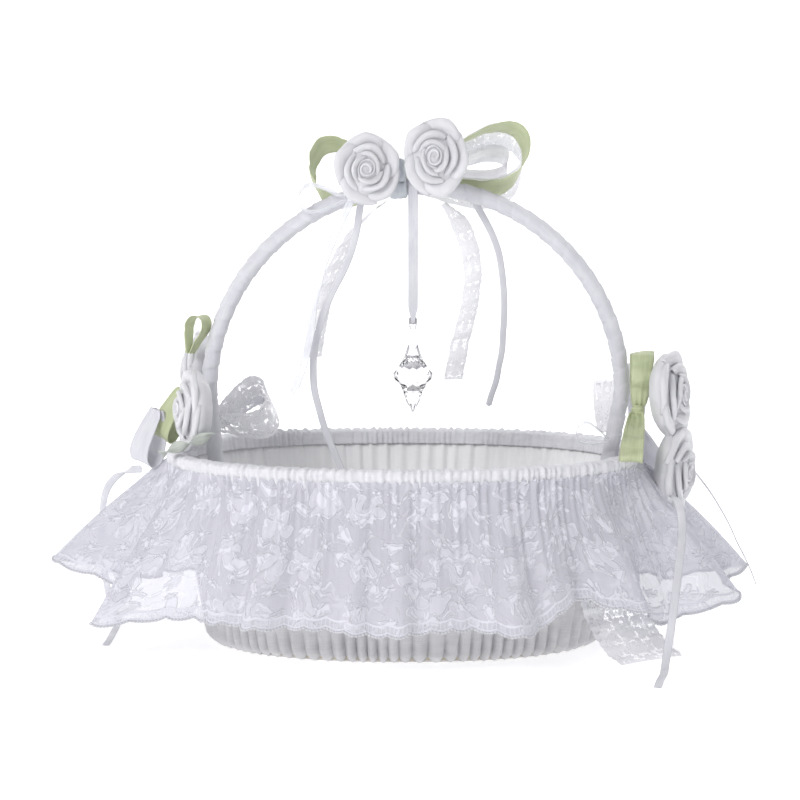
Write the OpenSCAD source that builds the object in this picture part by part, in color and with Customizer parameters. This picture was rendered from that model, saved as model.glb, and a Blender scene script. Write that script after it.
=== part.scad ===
// Oval satin flower girl basket with a lace flounce, a wrapped hoop handle,
// ribbon roses and bows at the top and at both ends, and a hanging crystal drop.
// Millimetres. +Z up, +X to the right, -Y is the front. The origin is the middle
// of the base, on the table.

/* [Basket] */
// Length of the wall board's rim, left to right
rim_length = 234; // [190:1:290]
// Depth of the wall board's rim, front to back
rim_depth = 166; // [135:1:210]
// Length of the wall board's foot
base_length = 192; // [160:1:240]
// Depth of the wall board's foot
base_depth = 134; // [110:1:170]
// Height of the wall board's top edge above the table
wall_height = 94; // [75:1:120]
// Thickness of the wall board
wall_t = 1.8; // [1:0.1:2.6]
// Thickness of the base board
board_t = 2; // [1:0.1:3]
// Thickness of the lining with its gathers
lining_t = 1.8; // [1:0.1:2.5]
// Thickness of the floor pad
pad_t = 5.5; // [3:0.5:8]
// Diameter of the wire in the rim
rim_wire_d = 2.4; // [1.6:0.1:3.2]
// How square the oval is: 2 is an ellipse
oval_power = 2.2; // [2:0.1:2.6]

/* [Flounce] */
// Height of the rim binding's outer side
binding_h = 10; // [7:0.5:14]
// Fall of the lace flounce at the front, from its top edge to its hem
lace_fall = 65; // [45:1:70]
// How far the hem stands out from the wall at the front
hem_flare = 19; // [12:1:26]
// Thickness of the lace with its cord edge
lace_t = 1.2; // [0.8:0.1:1.6]

/* [Handle] */
// How far the hoop's ends stand in from the rim board's ends
hoop_inset = 11.5; // [10:0.5:16]
// How far the hoop's middle stands to the right of the basket's middle
hoop_shift = 6; // [0:0.5:6]
// Height of the hoop's half circle above the wall board
hoop_rise = 32; // [22:1:45]
// Diameter of the handle with its ribbon wrapping
handle_d = 8.5; // [7:0.1:10]
// Diameter of the handle's bent rod
rod_d = 5; // [4:0.1:6]

/* [Crystal drop] */
// Length of the crystal drop
crystal_l = 49; // [35:1:60]
// Largest diameter of the crystal drop
crystal_d = 20.6; // [15:0.2:25]
// Diameter of the hole through the crystal's neck
eye_d = 2; // [1.6:0.1:2.4]
// Length of the ribbon from the middle of the handle to the crystal's eye
pendant_l = 69; // [50:1:80]
// Width of the pendant's ribbon
pendant_w = 5; // [3:0.5:5.5]

/* [Roses and bows] */
// Diameter of a ribbon rose
rose_d = 34; // [28:1:35]
// Depth of a ribbon rose
rose_h = 18; // [12:1:20]
// Width of the green satin ribbon
sage_w = 14; // [10:1:15]
// Width of the white satin ribbon
satin_w = 11; // [7:1:12]
// Width of the lace ribbon in the bows
lace_w = 20; // [14:1:22]
// Width of the narrow satin ribbon
narrow_w = 4; // [3:0.5:5]
// Thickness of a ribbon
ribbon_t = 0.6; // [0.4:0.1:0.8]

/* [Hidden] */

gap = 0.3;
cover_t = 1;
stations = 72;
flounce_stations = 96;

// Heights of the layers in the floor and of the rim
board_z = cover_t + gap;
pad_z = board_z + board_t + gap;
binding_top = wall_height + rim_wire_d + 1.5;
flounce_top = binding_top - binding_h - gap;

// Offsets of the layers from the wall board's outer face
lining_out = -wall_t - gap;
lining_in = lining_out - lining_t;
cover_in = gap;
cover_top_out = 2.6;
binding_out = 4.2;
binding_in = lining_in - gap - cover_t;

// The hoop
hoop_r = rim_length / 2 - hoop_inset;
hoop_z = wall_height + hoop_rise;
wrap_r = handle_d / 2;
rod_r = rod_d / 2;
foot_z = pad_z + pad_t + 1;
hoop_top = [hoop_shift, 0, hoop_z + hoop_r];

// ---- shared functions -------------------------------------------------------

function mix(a, b, t) = a + (b - a) * t;
function unit(v) = v / norm(v);
function power(c) = sign(c) * pow(abs(c), 2 / oval_power);
function oval(a, b, t) = [a * power(cos(t)), b * power(sin(t))];
function half_l(z) = mix(base_length, rim_length, min(max(z, 0), wall_height) / wall_height) / 2;
function half_d(z) = mix(base_depth, rim_depth, min(max(z, 0), wall_height) / wall_height) / 2;

// A point beside the wall at height z, off millimetres out from its outer face
function beside(off, z, t) = concat(oval(half_l(z) + off, half_d(z) + off, t), [z]);

// The height of the middle of the handle's hoop over x
function hoop_at(x) = hoop_z + sqrt(hoop_r * hoop_r - pow(x - hoop_shift, 2));

// A closed surface through rings of points, each ring with the same number of points
module skin(rings, closed) {
    n = len(rings);
    k = len(rings[0]);
    last = closed ? n - 1 : n - 2;
    sides = [for (i = [0 : last], j = [0 : k - 1], half = [0, 1])
        let (a = i * k + j, b = i * k + (j + 1) % k, up = ((i + 1) % n - i) * k)
        half == 0 ? [a, b, b + up] : [a, b + up, a + up]];
    caps = closed ? [] : [[for (j = [k - 1 : -1 : 0]) j], [for (j = [0 : k - 1]) (n - 1) * k + j]];
    polyhedron(points = [for (r = rings, p = r) p], faces = concat(sides, caps), convexity = 8);
}

// A wall that goes all round the oval. The profile lists [offset, height] anticlockwise
module around(profile, count = stations) {
    skin([for (i = [0 : count - 1])
        [for (p = profile) beside(p[0], p[1], 360 * i / count)]], true);
}

// An oval plate between two heights, off millimetres out from the wall's outer face
module plate(off, z, t) {
    translate([0, 0, z])
    linear_extrude(t)
    polygon([for (i = [0 : stations - 1])
        oval(half_l(z) + off, half_d(z) + off, 360 * i / stations)]);
}

// The direction along a route at point i
function along(route, i) =
    unit(route[min(i + 1, len(route) - 1)] - route[max(i - 1, 0)]);

// The flat section of a ribbon at point i, where a is the direction of its width
function flat_ring(route, a, i, w, t) =
    let (u = unit(a), n = unit(cross(along(route, i), u)))
    [route[i] + u * w / 2 + n * t / 2, route[i] + u * w / 2 - n * t / 2,
     route[i] - u * w / 2 - n * t / 2, route[i] - u * w / 2 + n * t / 2];

// The eight-sided section of a narrow ribbon
function round_ring(route, a, i, w, t) =
    let (u = unit(a), n = unit(cross(along(route, i), u)))
    [for (k = [0 : 7]) route[i] + u * w / 2 * cos(45 * k + 22.5) - n * t / 2 * sin(45 * k + 22.5)];

// A ribbon of even width along a route. across is one direction, or one for each end
module ribbon(route, across, w, t = ribbon_t) {
    m = len(route) - 1;
    skin([for (i = [0 : m]) flat_ring(route, mix(across[0], across[1], i / m), i, w, t)], false);
}

// The same route with each stretch cut into n equal parts, for a ribbon that twists
function finer(route, n) = concat(
    [for (i = [0 : len(route) - 2], j = [0 : n - 1]) mix(route[i], route[i + 1], j / n)],
    [route[len(route) - 1]]);

// A narrow ribbon that hangs or lies free
module narrow_tail(route, across, w = narrow_w) {
    m = len(route) - 1;
    skin([for (i = [0 : m])
        round_ring(route, mix(across[0], across[1], i / m), i, w, ribbon_t * 1.4)], false);
}

// One loop of a bow: out from its root along u, opening along v, pinched at the root
function loop_route(root, u, v, length, height, n) =
    [for (i = [0 : n]) let (f = 360 * i / n)
        root + unit(u) * length * (1 - cos(f)) / 2
        + unit(v) * (height * 0.65 * sin(f) * (1 - cos(f)) / 2 + ribbon_t * 1.5 * cos(f / 2))];

module bow_loop(root, u, v, length, height, across, w, pinch = 0.35, n = 16) {
    route = loop_route(root, u, v, length, height, n);
    skin([for (i = [0 : n])
        flat_ring(route, across, i, w * mix(pinch, 1, sin(180 * i / n)), ribbon_t)], false);
}

// Puts a shape that points along +Z at a place, pointing along d
module aim(at, d) {
    translate(at) rotate([0, acos(d[2] / norm(d)), atan2(d[1], d[0])]) children();
}

// A ribbon rose: a narrow back, flared outer petals and a rolled bud
module rose(at, d) {
    r = rose_d / 2;
    aim(at, d)
    rotate_extrude($fn = 48)
    polygon([
        [0, 0], [0.34 * r, 0], [0.42 * r, 0.12 * rose_h], [0.95 * r, 0.42 * rose_h],
        [r, 0.52 * rose_h], [0.92 * r, 0.63 * rose_h], [0.64 * r, 0.72 * rose_h],
        [0.52 * r, 0.93 * rose_h], [0.34 * r, rose_h], [0, rose_h]
    ]);
}

// ---- basket -----------------------------------------------------------------

module base_cover() {
    color("lavenderblush") plate(-gap, 0, cover_t);
}

module base_board() {
    color("burlywood") plate(-wall_t - gap, board_z, board_t);
}

module wall_board() {
    color("burlywood")
    around([[0, board_z], [0, wall_height], [-wall_t, wall_height], [-wall_t, board_z]]);
}

module rim_wire() {
    r = rim_wire_d / 2;
    color("silver")
    around([for (k = [0 : 7])
        [r * cos(45 * k) - wall_t / 2, wall_height + gap + r + r * sin(45 * k)]]);
}

// The gathered satin outside, with the puffs that it gathers into at the table
module outer_cover() {
    color("lavender")
    around([
        [cover_in, 0], [3.6, 0], [5, 2.5], [5.2, 7], [4.4, 16], [3.4, wall_height * 0.45],
        [cover_top_out, wall_height], [cover_in, wall_height]
    ]);
}

module lining() {
    color("lavender")
    around([[lining_out, pad_z], [lining_out, wall_height],
            [lining_in, wall_height], [lining_in, pad_z]]);
}

module floor_pad() {
    color("lavender") plate(lining_in - gap, pad_z, pad_t);
}

// The satin binding that goes over the rim
module rim_binding() {
    inner_z = binding_top - binding_h + 2;
    color("lavender")
    around([
        [binding_out, binding_top - binding_h], [binding_out, wall_height],
        [binding_out, binding_top], [binding_in, binding_top],
        [binding_in, wall_height], [binding_in, inner_z],
        [binding_in + cover_t, inner_z], [binding_in + cover_t, wall_height],
        [binding_in + cover_t, binding_top - cover_t],
        [binding_out - cover_t, binding_top - cover_t],
        [binding_out - cover_t, wall_height], [binding_out - cover_t, binding_top - binding_h]
    ]);
}

// The big flutes of the lace: [angle round the oval, spread, further out, further down]
flutes = [
    [1, 10, 40, -17], [-12, 9, 36, 4], [-27, 7, 8, 6], [-40, 6, 13, -4],
    [-53, 8, -3, -12], [-68, 6, 5, 3], [-80, 6, -3, 0], [-93, 6, 3, 2],
    [-107, 6, -3, 0], [-120, 6, 4, 0], [-134, 6, -2, 0], [-155, 8, 30, 5],
    [-170, 6, 5, -5], [-181, 10, 43, -21], [-196, 8, 14, 0], [-210, 7, 9, 0],
    [-225, 6, -3, 0], [-238, 6, 4, 0], [-251, 6, -3, 0], [-264, 6, 4, 0],
    [-277, 6, -3, 0], [-290, 6, 4, 0], [-303, 6, -3, 0], [-317, 7, 8, 0],
    [-336, 8, 12, 0]
];
// How much of flute f is felt at angle t
function felt(f, t) = exp(-pow((t - f[0] - 360 * round((t - f[0]) / 360)) / f[1], 2));
function sum(v, i = 0) = i < len(v) ? v[i] + sum(v, i + 1) : 0;
function hem_out(t) = hem_flare
    + max([0, for (f = flutes) f[2] * felt(f, t)]) + min([0, for (f = flutes) f[2] * felt(f, t)]);
function hem_drop(t) = lace_fall + sum([for (f = flutes) f[3] * felt(f, t)]);
// A point of the lace, s from 0 at its top edge to 1 at its hem. Wide flutes arch outwards
function lace_point(s, t, off) =
    let (arch = mix(1.15, 0.72, min(max(hem_out(t) - hem_flare, 0) / 43, 1)),
         out = cover_top_out + gap + off + hem_out(t) * pow(s, arch),
         edge = oval(half_l(flounce_top) + out, half_d(flounce_top) + out, t))
    concat(edge, [flounce_top - hem_drop(t) * s]);

module lace_flounce() {
    steps = [0, 0.12, 0.45, 1];
    color("ghostwhite", 0.8)
    skin([for (i = [0 : flounce_stations - 1]) let (t = 360 * i / flounce_stations)
        concat([for (k = [3 : -1 : 0]) lace_point(steps[k], t, lace_t)],
               [for (k = [0 : 3]) lace_point(steps[k], t, 0)])], true);
}

// ---- handle -----------------------------------------------------------------

// Where a leg ends above the floor pad, side is -1 on the left and 1 on the right
function foot(side) =
    [side * (half_l(foot_z) + lining_in - wrap_r * 1.03 - 1.5 * gap), 0, foot_z];
function shoulder(side) = [hoop_shift + side * hoop_r, 0, hoop_z];

// The middle line of the handle: up the left leg, over the half circle, down the right leg
hoop_steps = 36;
handle_line = concat([foot(-1)],
    [for (i = [0 : hoop_steps]) let (a = 180 * i / hoop_steps)
        [hoop_shift - hoop_r * cos(a), 0, hoop_z + hoop_r * sin(a)]],
    [foot(1)]);

// The rings of a round bar along that line
function handle_rings(r, sides) =
    [for (i = [0 : len(handle_line) - 1])
        let (n = cross(along(handle_line, i), [0, 1, 0]))
        [for (k = [0 : sides - 1]) let (a = 360 * k / sides)
            handle_line[i] + r * (n * cos(a) + [0, sin(a), 0])]];
function backwards(v) = [for (i = [len(v) - 1 : -1 : 0]) v[i]];

module handle_rod() {
    color("tan") skin(handle_rings(rod_r, 12), false);
}

module handle_wrapping() {
    color("lavender")
    skin(concat(handle_rings(wrap_r, 20), backwards(handle_rings(rod_r + gap / 2, 20))), true);
}

// Satin tabs that are sewn to the lining and hold the two legs
module leg_tabs() {
    tab_h = 9;
    tab_z = foot_z + 8;
    color("lavender")
    for (side = [-1, 1]) {
        inner = half_l(tab_z) + lining_in - gap;
        leg = shoulder(side) - foot(side);
        middle = foot(side) + leg * (tab_z + tab_h / 2 - foot_z) / leg[2];
        difference() {
            intersection() {
                hull() {
                    translate([middle[0], 0, tab_z])
                    cylinder(h = tab_h, r = wrap_r + 1.6, $fn = 32);
                    translate([side * inner - 0.5, -wrap_r - 3, tab_z])
                    cube([1, 2 * wrap_r + 6, tab_h]);
                }
                translate([side * (inner - 20 - gap) - 20, -20, tab_z - 1])
                cube([40, 40, tab_h + 2]);
            }
            aim(foot(side), leg) cylinder(h = 60, r = wrap_r + gap / 3, $fn = 48);
        }
    }
}

// ---- cluster at the top of the handle ---------------------------------------

tie_x = hoop_top[0] - 9;
pendant_x = hoop_top[0] - 1.4;

// Pale satin wound round the handle, with its knot behind the roses
module top_tie() {
    tie_l = 8.4;
    tie_at = [tie_x, 0, hoop_at(tie_x)];
    tie_dir = [hoop_at(tie_x) - hoop_z, 0, hoop_shift - tie_x];
    color("aliceblue")
    difference() {
        union() {
            aim(tie_at - unit(tie_dir) * tie_l / 2, tie_dir)
            cylinder(h = tie_l, r = wrap_r + gap + 1.5, $fn = 48);
            translate(tie_at + [0.5, -3.6, 3])
            cylinder(h = 12, r1 = 3.2, r2 = 2.4, $fn = 32);
        }
        aim(tie_at - unit(tie_dir) * tie_l, tie_dir)
        cylinder(h = 2 * tie_l, r = wrap_r + gap, $fn = 48);
    }
}

top_rose_out = wrap_r + 0.4;

module top_rose_left() {
    color("white")
    rose(hoop_top + [-24.5, -top_rose_out, 8.5], [0, -1, 0.06]);
}

module top_rose_right() {
    color("white")
    rose(hoop_top + [11, -top_rose_out - 1, 14], [-0.12, -1, 0.1]);
}

// The green bow stands behind the handle and opens to the left and the right
bow_back = wrap_r + 6.6;
module top_sage_bow() {
    root = hoop_top + [-7, bow_back, 3.5];
    color("darkseagreen") {
        bow_loop(root, [-1, 0, 0.1], [0, 0, 1], 46, 33, [-0.2, -0.72, 0.62], sage_w);
        bow_loop(root, [1, 0, 0.22], [0, 0, 1], 65, 36, [0.2, -0.72, 0.62], sage_w);
    }
}

lace_back = bow_back + 16;
module top_lace_bow() {
    root = hoop_top + [-4, lace_back, 2.5];
    color("ghostwhite", 0.8)
    bow_loop(root, [1, 0, 0.18], [0, 0, 1], 61, 34, [0.1, -0.85, 0.5], lace_w);
}

module top_organza_loop() {
    root = hoop_top + [10, lace_back, 7];
    color("gainsboro", 0.7)
    bow_loop(root, [1, 0, 0.1], [0, 0, 1], 38, 14, [0.1, -0.85, 0.5], satin_w);
}

module top_narrow_bow() {
    root = hoop_top + [-35, -wrap_r - 5.5, -6];
    color("white")
    bow_loop(root, [-1, 0, 0.02], [0, 0, 1], 24, 15, [0.1, -0.8, 0.5], narrow_w, 0.7);
}

module top_lace_tail_left() {
    t = hoop_top;
    color("ghostwhite", 0.8)
    ribbon([
        t + [-16, 9, -8], t + [-24, 10.5, -14.5], t + [-31, 12, -22], t + [-36.5, 12, -31],
        t + [-41, 12, -40], t + [-44.5, 12, -49.5], t + [-47.5, 12, -59],
        t + [-49.5, 12, -68.5], t + [-51.5, 12, -78], t + [-53, 12, -88]
    ], [[0.7, 0.5, 0.6], [0.9, 0.5, 0]], lace_w / 2);
}

module top_lace_tail_right() {
    t = hoop_top;
    color("ghostwhite", 0.8)
    ribbon([
        t + [14, 9.5, -9], t + [20.5, 11.5, -16], t + [25.5, 13.5, -25.5], t + [28.5, 14.5, -36],
        t + [29.5, 15.5, -46.5], t + [28.5, 16, -57], t + [26.5, 16, -68],
        t + [23.5, 16, -79], t + [21.5, 16, -89], t + [19.5, 16, -100]
    ], [[0.9, 0.5, 0.5], [1, 0.4, 0]], lace_w / 2);
}

// The routes of the narrow ribbons that hang or lie free
tail_sheer = [
    [-25.5, -9.4, 229], [-28, -14, 222], [-31.5, -14, 215], [-35, -12.5, 207],
    [-38.5, -13, 198.5], [-41.5, -13, 190], [-43.5, -13, 182], [-45.5, -13, 173.5],
    [-46.5, -13, 165], [-47.5, -13, 156.5], [-49, -13, 149], [-51, -13, 141],
    [-53.5, -13, 134], [-56, -13, 127]
];
tail_left = [
    [-21, -6.5, 229], [-22.5, -8, 219], [-24, -8.5, 209], [-27, -9, 198], [-31, -9, 188.5],
    [-36, -9, 179], [-40, -9, 169.5], [-43, -9, 159.5], [-45.5, -9, 149.5], [-46, -9, 139],
    [-45.5, -9, 129], [-43, -9, 118.5], [-40, -9, 108], [-36, -9, 98], [-32, -9, 88],
    [-29.5, -9, 80]
];
tail_right = [
    [33.5, 7, 230], [37, 8.5, 222], [41.5, 9.5, 214], [45.5, 10.5, 206], [48.5, 11, 197.5],
    [50, 11, 189.5], [51, 11, 181], [51.5, 11, 172.5], [51.5, 11, 164], [51, 11, 155.5],
    [50.5, 11, 147], [49, 11, 139], [47.5, 11, 131], [45, 11, 123.5], [43.5, 11, 118]
];

module top_sheer_tail() {
    color("whitesmoke", 0.7) narrow_tail(tail_sheer, [[1, 0.2, 0.2], [1, -0.3, 0]]);
}

module top_narrow_tail_left() {
    color("white") narrow_tail(tail_left, [[1, 0.2, 0.2], [1, -0.3, 0]], narrow_w * 0.9);
}

module top_narrow_tail_right() {
    color("white") narrow_tail(tail_right, [[1, 0.2, 0.4], [0.9, 0.4, 0]], narrow_w * 0.9);
}

// ---- crystal drop on its ribbon ---------------------------------------------

pendant_z = hoop_at(pendant_x);
eye_z = pendant_z - pendant_l;
neck_r = 2.1;
eye_below_top = 2.5;
ring_r = wrap_r + gap;

// A ribbon over the handle, with its two strands down to the crystal's eye
module pendant_ribbon() {
    strand_top = ring_r + ribbon_t / 2;
    strand_foot = neck_r + gap + ribbon_t / 2;
    lean = atan((strand_top - strand_foot) / pendant_l);
    color("white")
    translate([pendant_x, 0, 0]) {
        translate([-pendant_w / 2, 0, pendant_z])
        rotate([0, 90, 0])
        rotate_extrude($fn = 64)
        translate([ring_r, 0]) square([ribbon_t, pendant_w]);
        for (side = [-1, 1])
            translate([0, side * strand_top, pendant_z])
            rotate([side * -lean, 0, 0])
            rotate([90, 0, 0])
            linear_extrude(ribbon_t, center = true)
            polygon([
                [-pendant_w / 2, 0], [-pendant_w / 2, -pendant_l * 0.8], [-1, -pendant_l - 1],
                [1, -pendant_l - 1], [pendant_w / 2, -pendant_l * 0.8], [pendant_w / 2, 0]
            ]);
        translate([0, 0, eye_z])
        rotate([90, 0, 0])
        cylinder(h = 2 * strand_foot, r = eye_d / 2 - gap / 3, center = true, $fn = 32);
    }
}

// The faceted drop, lit through: a slim neck, a wide girdle, a waist and a point
module crystal_drop() {
    r = crystal_d / 2;
    l = crystal_l;
    color("azure", 0.6)
    translate([pendant_x, 0, eye_z + eye_below_top])
    difference() {
        rotate_extrude($fn = 8)
        polygon([
            [0, 0], [neck_r - 0.3, 0], [neck_r - 0.4, -0.1 * l], [0.3 * r, -0.32 * l],
            [0.55 * r, -0.44 * l], [0.9 * r, -0.57 * l], [r, -0.61 * l], [0.58 * r, -0.74 * l],
            [0.46 * r, -0.79 * l], [0.34 * r, -0.88 * l], [0, -l]
        ]);
        translate([0, 0, -eye_below_top])
        rotate([90, 0, 0])
        cylinder(h = 4 * neck_r, r = eye_d / 2, center = true, $fn = 32);
    }
}

// ---- cluster at the left end ------------------------------------------------

left_leg = shoulder(-1);

module left_rose_front() {
    color("white") rose(left_leg + [0.5, -17, -7], [-1, -0.3, 0.05]);
}

module left_rose_back() {
    color("white") rose(left_leg + [1, 17, 8], [-1, 0.1, 0.12]);
}

module left_sage_bow() {
    upper = left_leg + [-(wrap_r + 5.25), -3, 21];
    lower = left_leg + [-(wrap_r + 9.25), 1, 2];
    color("darkseagreen") {
        bow_loop(upper, [0.3, 0, 1], [1, 0, -0.3], 20, 9, [0.35, 0.9, 0], 10);
        bow_loop(lower, [-0.45, 0, -1], [1, 0, -0.45], 28, 12, [-0.3, 1, 0], 12);
    }
}

module left_satin_bow() {
    root = left_leg + [-31.5, -1, -11];
    color("white")
    bow_loop(root, [-0.3, 0, -1], [1, 0, -0.3], 29, 10, [0.3, 1, 0], satin_w);
}

module left_lace_bow() {
    root = left_leg + [2, 24, -18];
    color("ghostwhite", 0.8)
    bow_loop(root, [1, 0.2, 0.35], [0, 0, 1], 31, 26, [0.2, -1, 0.3], lace_w * 0.8);
}

module left_organza_loop() {
    root = left_leg + [2, 40, -15];
    color("gainsboro", 0.7)
    bow_loop(root, [1, 0, 0.1], [0, 0, 1], 24, 16, [0.2, -1, 0.3], satin_w);
}

module left_twisted_ribbon() {
    t = left_leg;
    color("darkseagreen")
    ribbon(finer([
        t + [-22, -36, -26.5], t + [-17, -37, -24], t + [-11, -38, -22], t + [-5, -38, -20],
        t + [1, -37, -18], t + [5, -35, -16]
    ], 5), [[0.3, -0.6, 0.8], [0, 0.7, 0.7]], 6);
}

tail_left_floor = [
    [-136, 22, 84], [-144, 31, 82], [-152, 41, 77], [-158, 50, 69], [-161, 57, 58],
    [-162, 61, 46], [-162, 63, 34], [-161, 64, 22], [-159, 63, 10], [-156, 58, 2],
    [-153, 47, 1], [-151, 34, 1], [-150.5, 20, 1], [-150.5, 5, 1], [-150.5, -12, 1],
    [-151, -31, 1]
];

module left_narrow_tail() {
    color("white") narrow_tail(tail_left_floor, [[0.5, -0.6, 0.3], [1, 0.1, 0]]);
}

// ---- cluster at the right end -----------------------------------------------

right_end = [rim_length / 2 + binding_out, 0, binding_top];

module right_rose_upper() {
    color("white") rose(right_end + [7, -7, 27], [0.92, -0.4, 0.12]);
}

module right_rose_lower() {
    color("white") rose(right_end + [10, -7, -9], [0.92, -0.4, -0.06]);
}

module right_sage_bow() {
    root = right_end + [-1.5, -8, 20.5];
    color("darkseagreen") {
        bow_loop(root + [0, 0, 1.5], [0.05, 0, 1], [0, 1, 0], 28, 9, [1, 0.1, 0.1], sage_w - 2);
        bow_loop(root - [1.7, 5, 1.5], [0.06, -0.92, -0.6], [0, 0.6, -0.92], 37, 10, [1, 0.05, 0],
                 sage_w - 2);
    }
}

module right_satin_bow() {
    root = right_end + [-1, 16, 8];
    color("white") {
        bow_loop(root, [0.05, 0.2, 1], [0.1, 1, -0.2], 34, 12, [1, 0, 0], satin_w);
        bow_loop(root, [0.55, 0.35, -1], [0, 1, 0.35], 30, 12, [1, 0, 0.5], satin_w);
    }
}

module right_lace_bow() {
    root = right_end + [-16, 18, 6];
    color("ghostwhite", 0.8)
    bow_loop(root, [0.1, 0.4, 1], [0.2, 1, -0.4], 27, 22, [1, -0.4, 0], lace_w * 0.8);
}

module right_narrow_bow() {
    root = right_end + [-17, -10, 5];
    color("white")
    bow_loop(root, [-1, 0, 0.35], [0.35, 0, 1], 17, 11, [0, 1, 0.2], narrow_w, 0.7);
}

tail_right_front = [
    [134, -22, 76], [136.5, -29, 76], [138, -38, 72], [138, -48, 66], [137, -58, 59],
    [135, -67, 50], [133, -75, 40], [131, -81, 29], [129, -86, 18], [127, -90, 8],
    [125.5, -95, 1.5], [124, -103, 1], [122, -112, 1], [120.5, -121, 1], [119, -130, 1]
];
tail_right_far = [
    [131, 30, 91], [137, 32, 91], [143, 33, 89], [150, 36, 84], [156, 38, 77],
    [162, 39, 69], [167, 39, 61], [172, 38, 52], [176, 36, 43], [180, 33, 35],
    [183, 29, 28], [185, 25, 22]
];

module right_narrow_tail() {
    color("white") narrow_tail(tail_right_front, [[1, 0, 0], [1, 0.1, 0]]);
}

module right_far_tail() {
    color("white") narrow_tail(tail_right_far, [[0.2, 1, 0.2], [0, 1, 0.3]]);
}

// This one hangs under the flounce and lies out on the table
module right_lace_tail() {
    top = beside(8.4, 58, -32);
    color("ghostwhite", 0.8)
    ribbon([
        top, top + [0, -1, -12], top + [1, -2, -24], top + [4, -5, -35], top + [9, -10, -45],
        top + [15, -14.5, -52.5], top + [21, -19, -57]
    ], [[0.79, 0.61, 0], [0.79, 0.61, 0]], 2 * lace_w, 1);
}

base_cover();
base_board();
wall_board();
rim_wire();
outer_cover();
lining();
floor_pad();
rim_binding();
lace_flounce();
handle_rod();
handle_wrapping();
leg_tabs();
top_tie();
top_rose_left();
top_rose_right();
top_sage_bow();
top_lace_bow();
top_organza_loop();
top_narrow_bow();
top_lace_tail_left();
top_lace_tail_right();
top_sheer_tail();
top_narrow_tail_left();
top_narrow_tail_right();
pendant_ribbon();
crystal_drop();
left_rose_front();
left_rose_back();
left_sage_bow();
left_satin_bow();
left_lace_bow();
left_organza_loop();
left_twisted_ribbon();
left_narrow_tail();
right_rose_upper();
right_rose_lower();
right_sage_bow();
right_satin_bow();
right_lace_bow();
right_narrow_bow();
right_narrow_tail();
right_lace_tail();
right_far_tail();
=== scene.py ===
import math
import bmesh
import bpy
import numpy as np
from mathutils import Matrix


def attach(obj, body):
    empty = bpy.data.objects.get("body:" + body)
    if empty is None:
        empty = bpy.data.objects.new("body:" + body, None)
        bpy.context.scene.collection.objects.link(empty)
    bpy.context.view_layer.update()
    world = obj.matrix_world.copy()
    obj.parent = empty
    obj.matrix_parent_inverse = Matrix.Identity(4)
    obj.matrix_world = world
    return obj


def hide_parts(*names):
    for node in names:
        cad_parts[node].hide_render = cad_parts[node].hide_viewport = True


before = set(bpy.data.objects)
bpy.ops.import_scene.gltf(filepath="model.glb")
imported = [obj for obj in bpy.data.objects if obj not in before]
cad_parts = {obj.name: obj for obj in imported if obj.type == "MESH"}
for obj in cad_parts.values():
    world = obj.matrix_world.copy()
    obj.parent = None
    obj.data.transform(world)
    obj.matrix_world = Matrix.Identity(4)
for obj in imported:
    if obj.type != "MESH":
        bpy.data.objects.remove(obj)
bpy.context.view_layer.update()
mm = 0.001
scene = bpy.context.scene
print("frame loaded")

# The camera comes first

cameraSetup = dict(place=(-0.002, -1.4, 0.28), downTilt=0.112, lens=123.9, sensor=36)
camera = bpy.data.objects.new("camera", bpy.data.cameras.new("camera"))
camera.data.lens = cameraSetup["lens"]
camera.data.sensor_width = cameraSetup["sensor"]
camera.location = cameraSetup["place"]
camera.rotation_euler = (math.pi / 2 - cameraSetup["downTilt"], 0, 0)
scene.collection.objects.link(camera)
scene.camera = camera
scene.view_settings.view_transform = "Standard"

# Numbers shared with the solid model, in millimetres

basket = dict(rimLength=234, rimDepth=166, baseLength=192, baseDepth=134, wallHeight=94,
              ovalPower=2.2, liningOut=-2.1, liningIn=-3.9, coverTop=2.6, bindingOut=4.2,
              bindingTop=97.9, flounceTop=87.6, padLow=3.6, padHigh=9.1)
hoop = dict(shift=6.0, radius=105.5, height=126.0, wrap=4.25, footHeight=10.1)
hoopTop = np.array([hoop["shift"], 0, hoop["height"] + hoop["radius"]])
leftLeg = np.array([hoop["shift"] - hoop["radius"], 0, hoop["height"]])
rightEnd = np.array([basket["rimLength"] / 2 + basket["bindingOut"], 0, basket["bindingTop"]])


def unit(v):
    return v / np.maximum(np.linalg.norm(v, axis=-1, keepdims=True), 1e-9)


def ease(t):  # 0 to 1 with a level start and end
    t = np.clip(t, 0, 1)
    return t * t * (3 - 2 * t)


def power(c):
    return np.sign(c) * np.abs(c) ** (2 / basket["ovalPower"])


def halfSizes(z):  # half length and half depth of the wall at height z
    t = np.clip(np.asarray(z, float), 0, basket["wallHeight"]) / basket["wallHeight"]
    return ((basket["baseLength"] + (basket["rimLength"] - basket["baseLength"]) * t) / 2,
            (basket["baseDepth"] + (basket["rimDepth"] - basket["baseDepth"]) * t) / 2)


def beside(out, z, turn):  # a point beside the wall: out from its outer face, at height z, turn in radians
    a, b = halfSizes(z)
    return np.stack(np.broadcast_arrays((a + out) * power(np.cos(turn)),
                                        (b + out) * power(np.sin(turn)), z), -1)


def lengthAlong(p, axis=0):  # running length of a line of points
    step = np.linalg.norm(np.diff(p, axis=axis), axis=-1)
    return np.concatenate([np.zeros_like(step.take([0], axis)), np.cumsum(step, axis)], axis)


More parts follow.
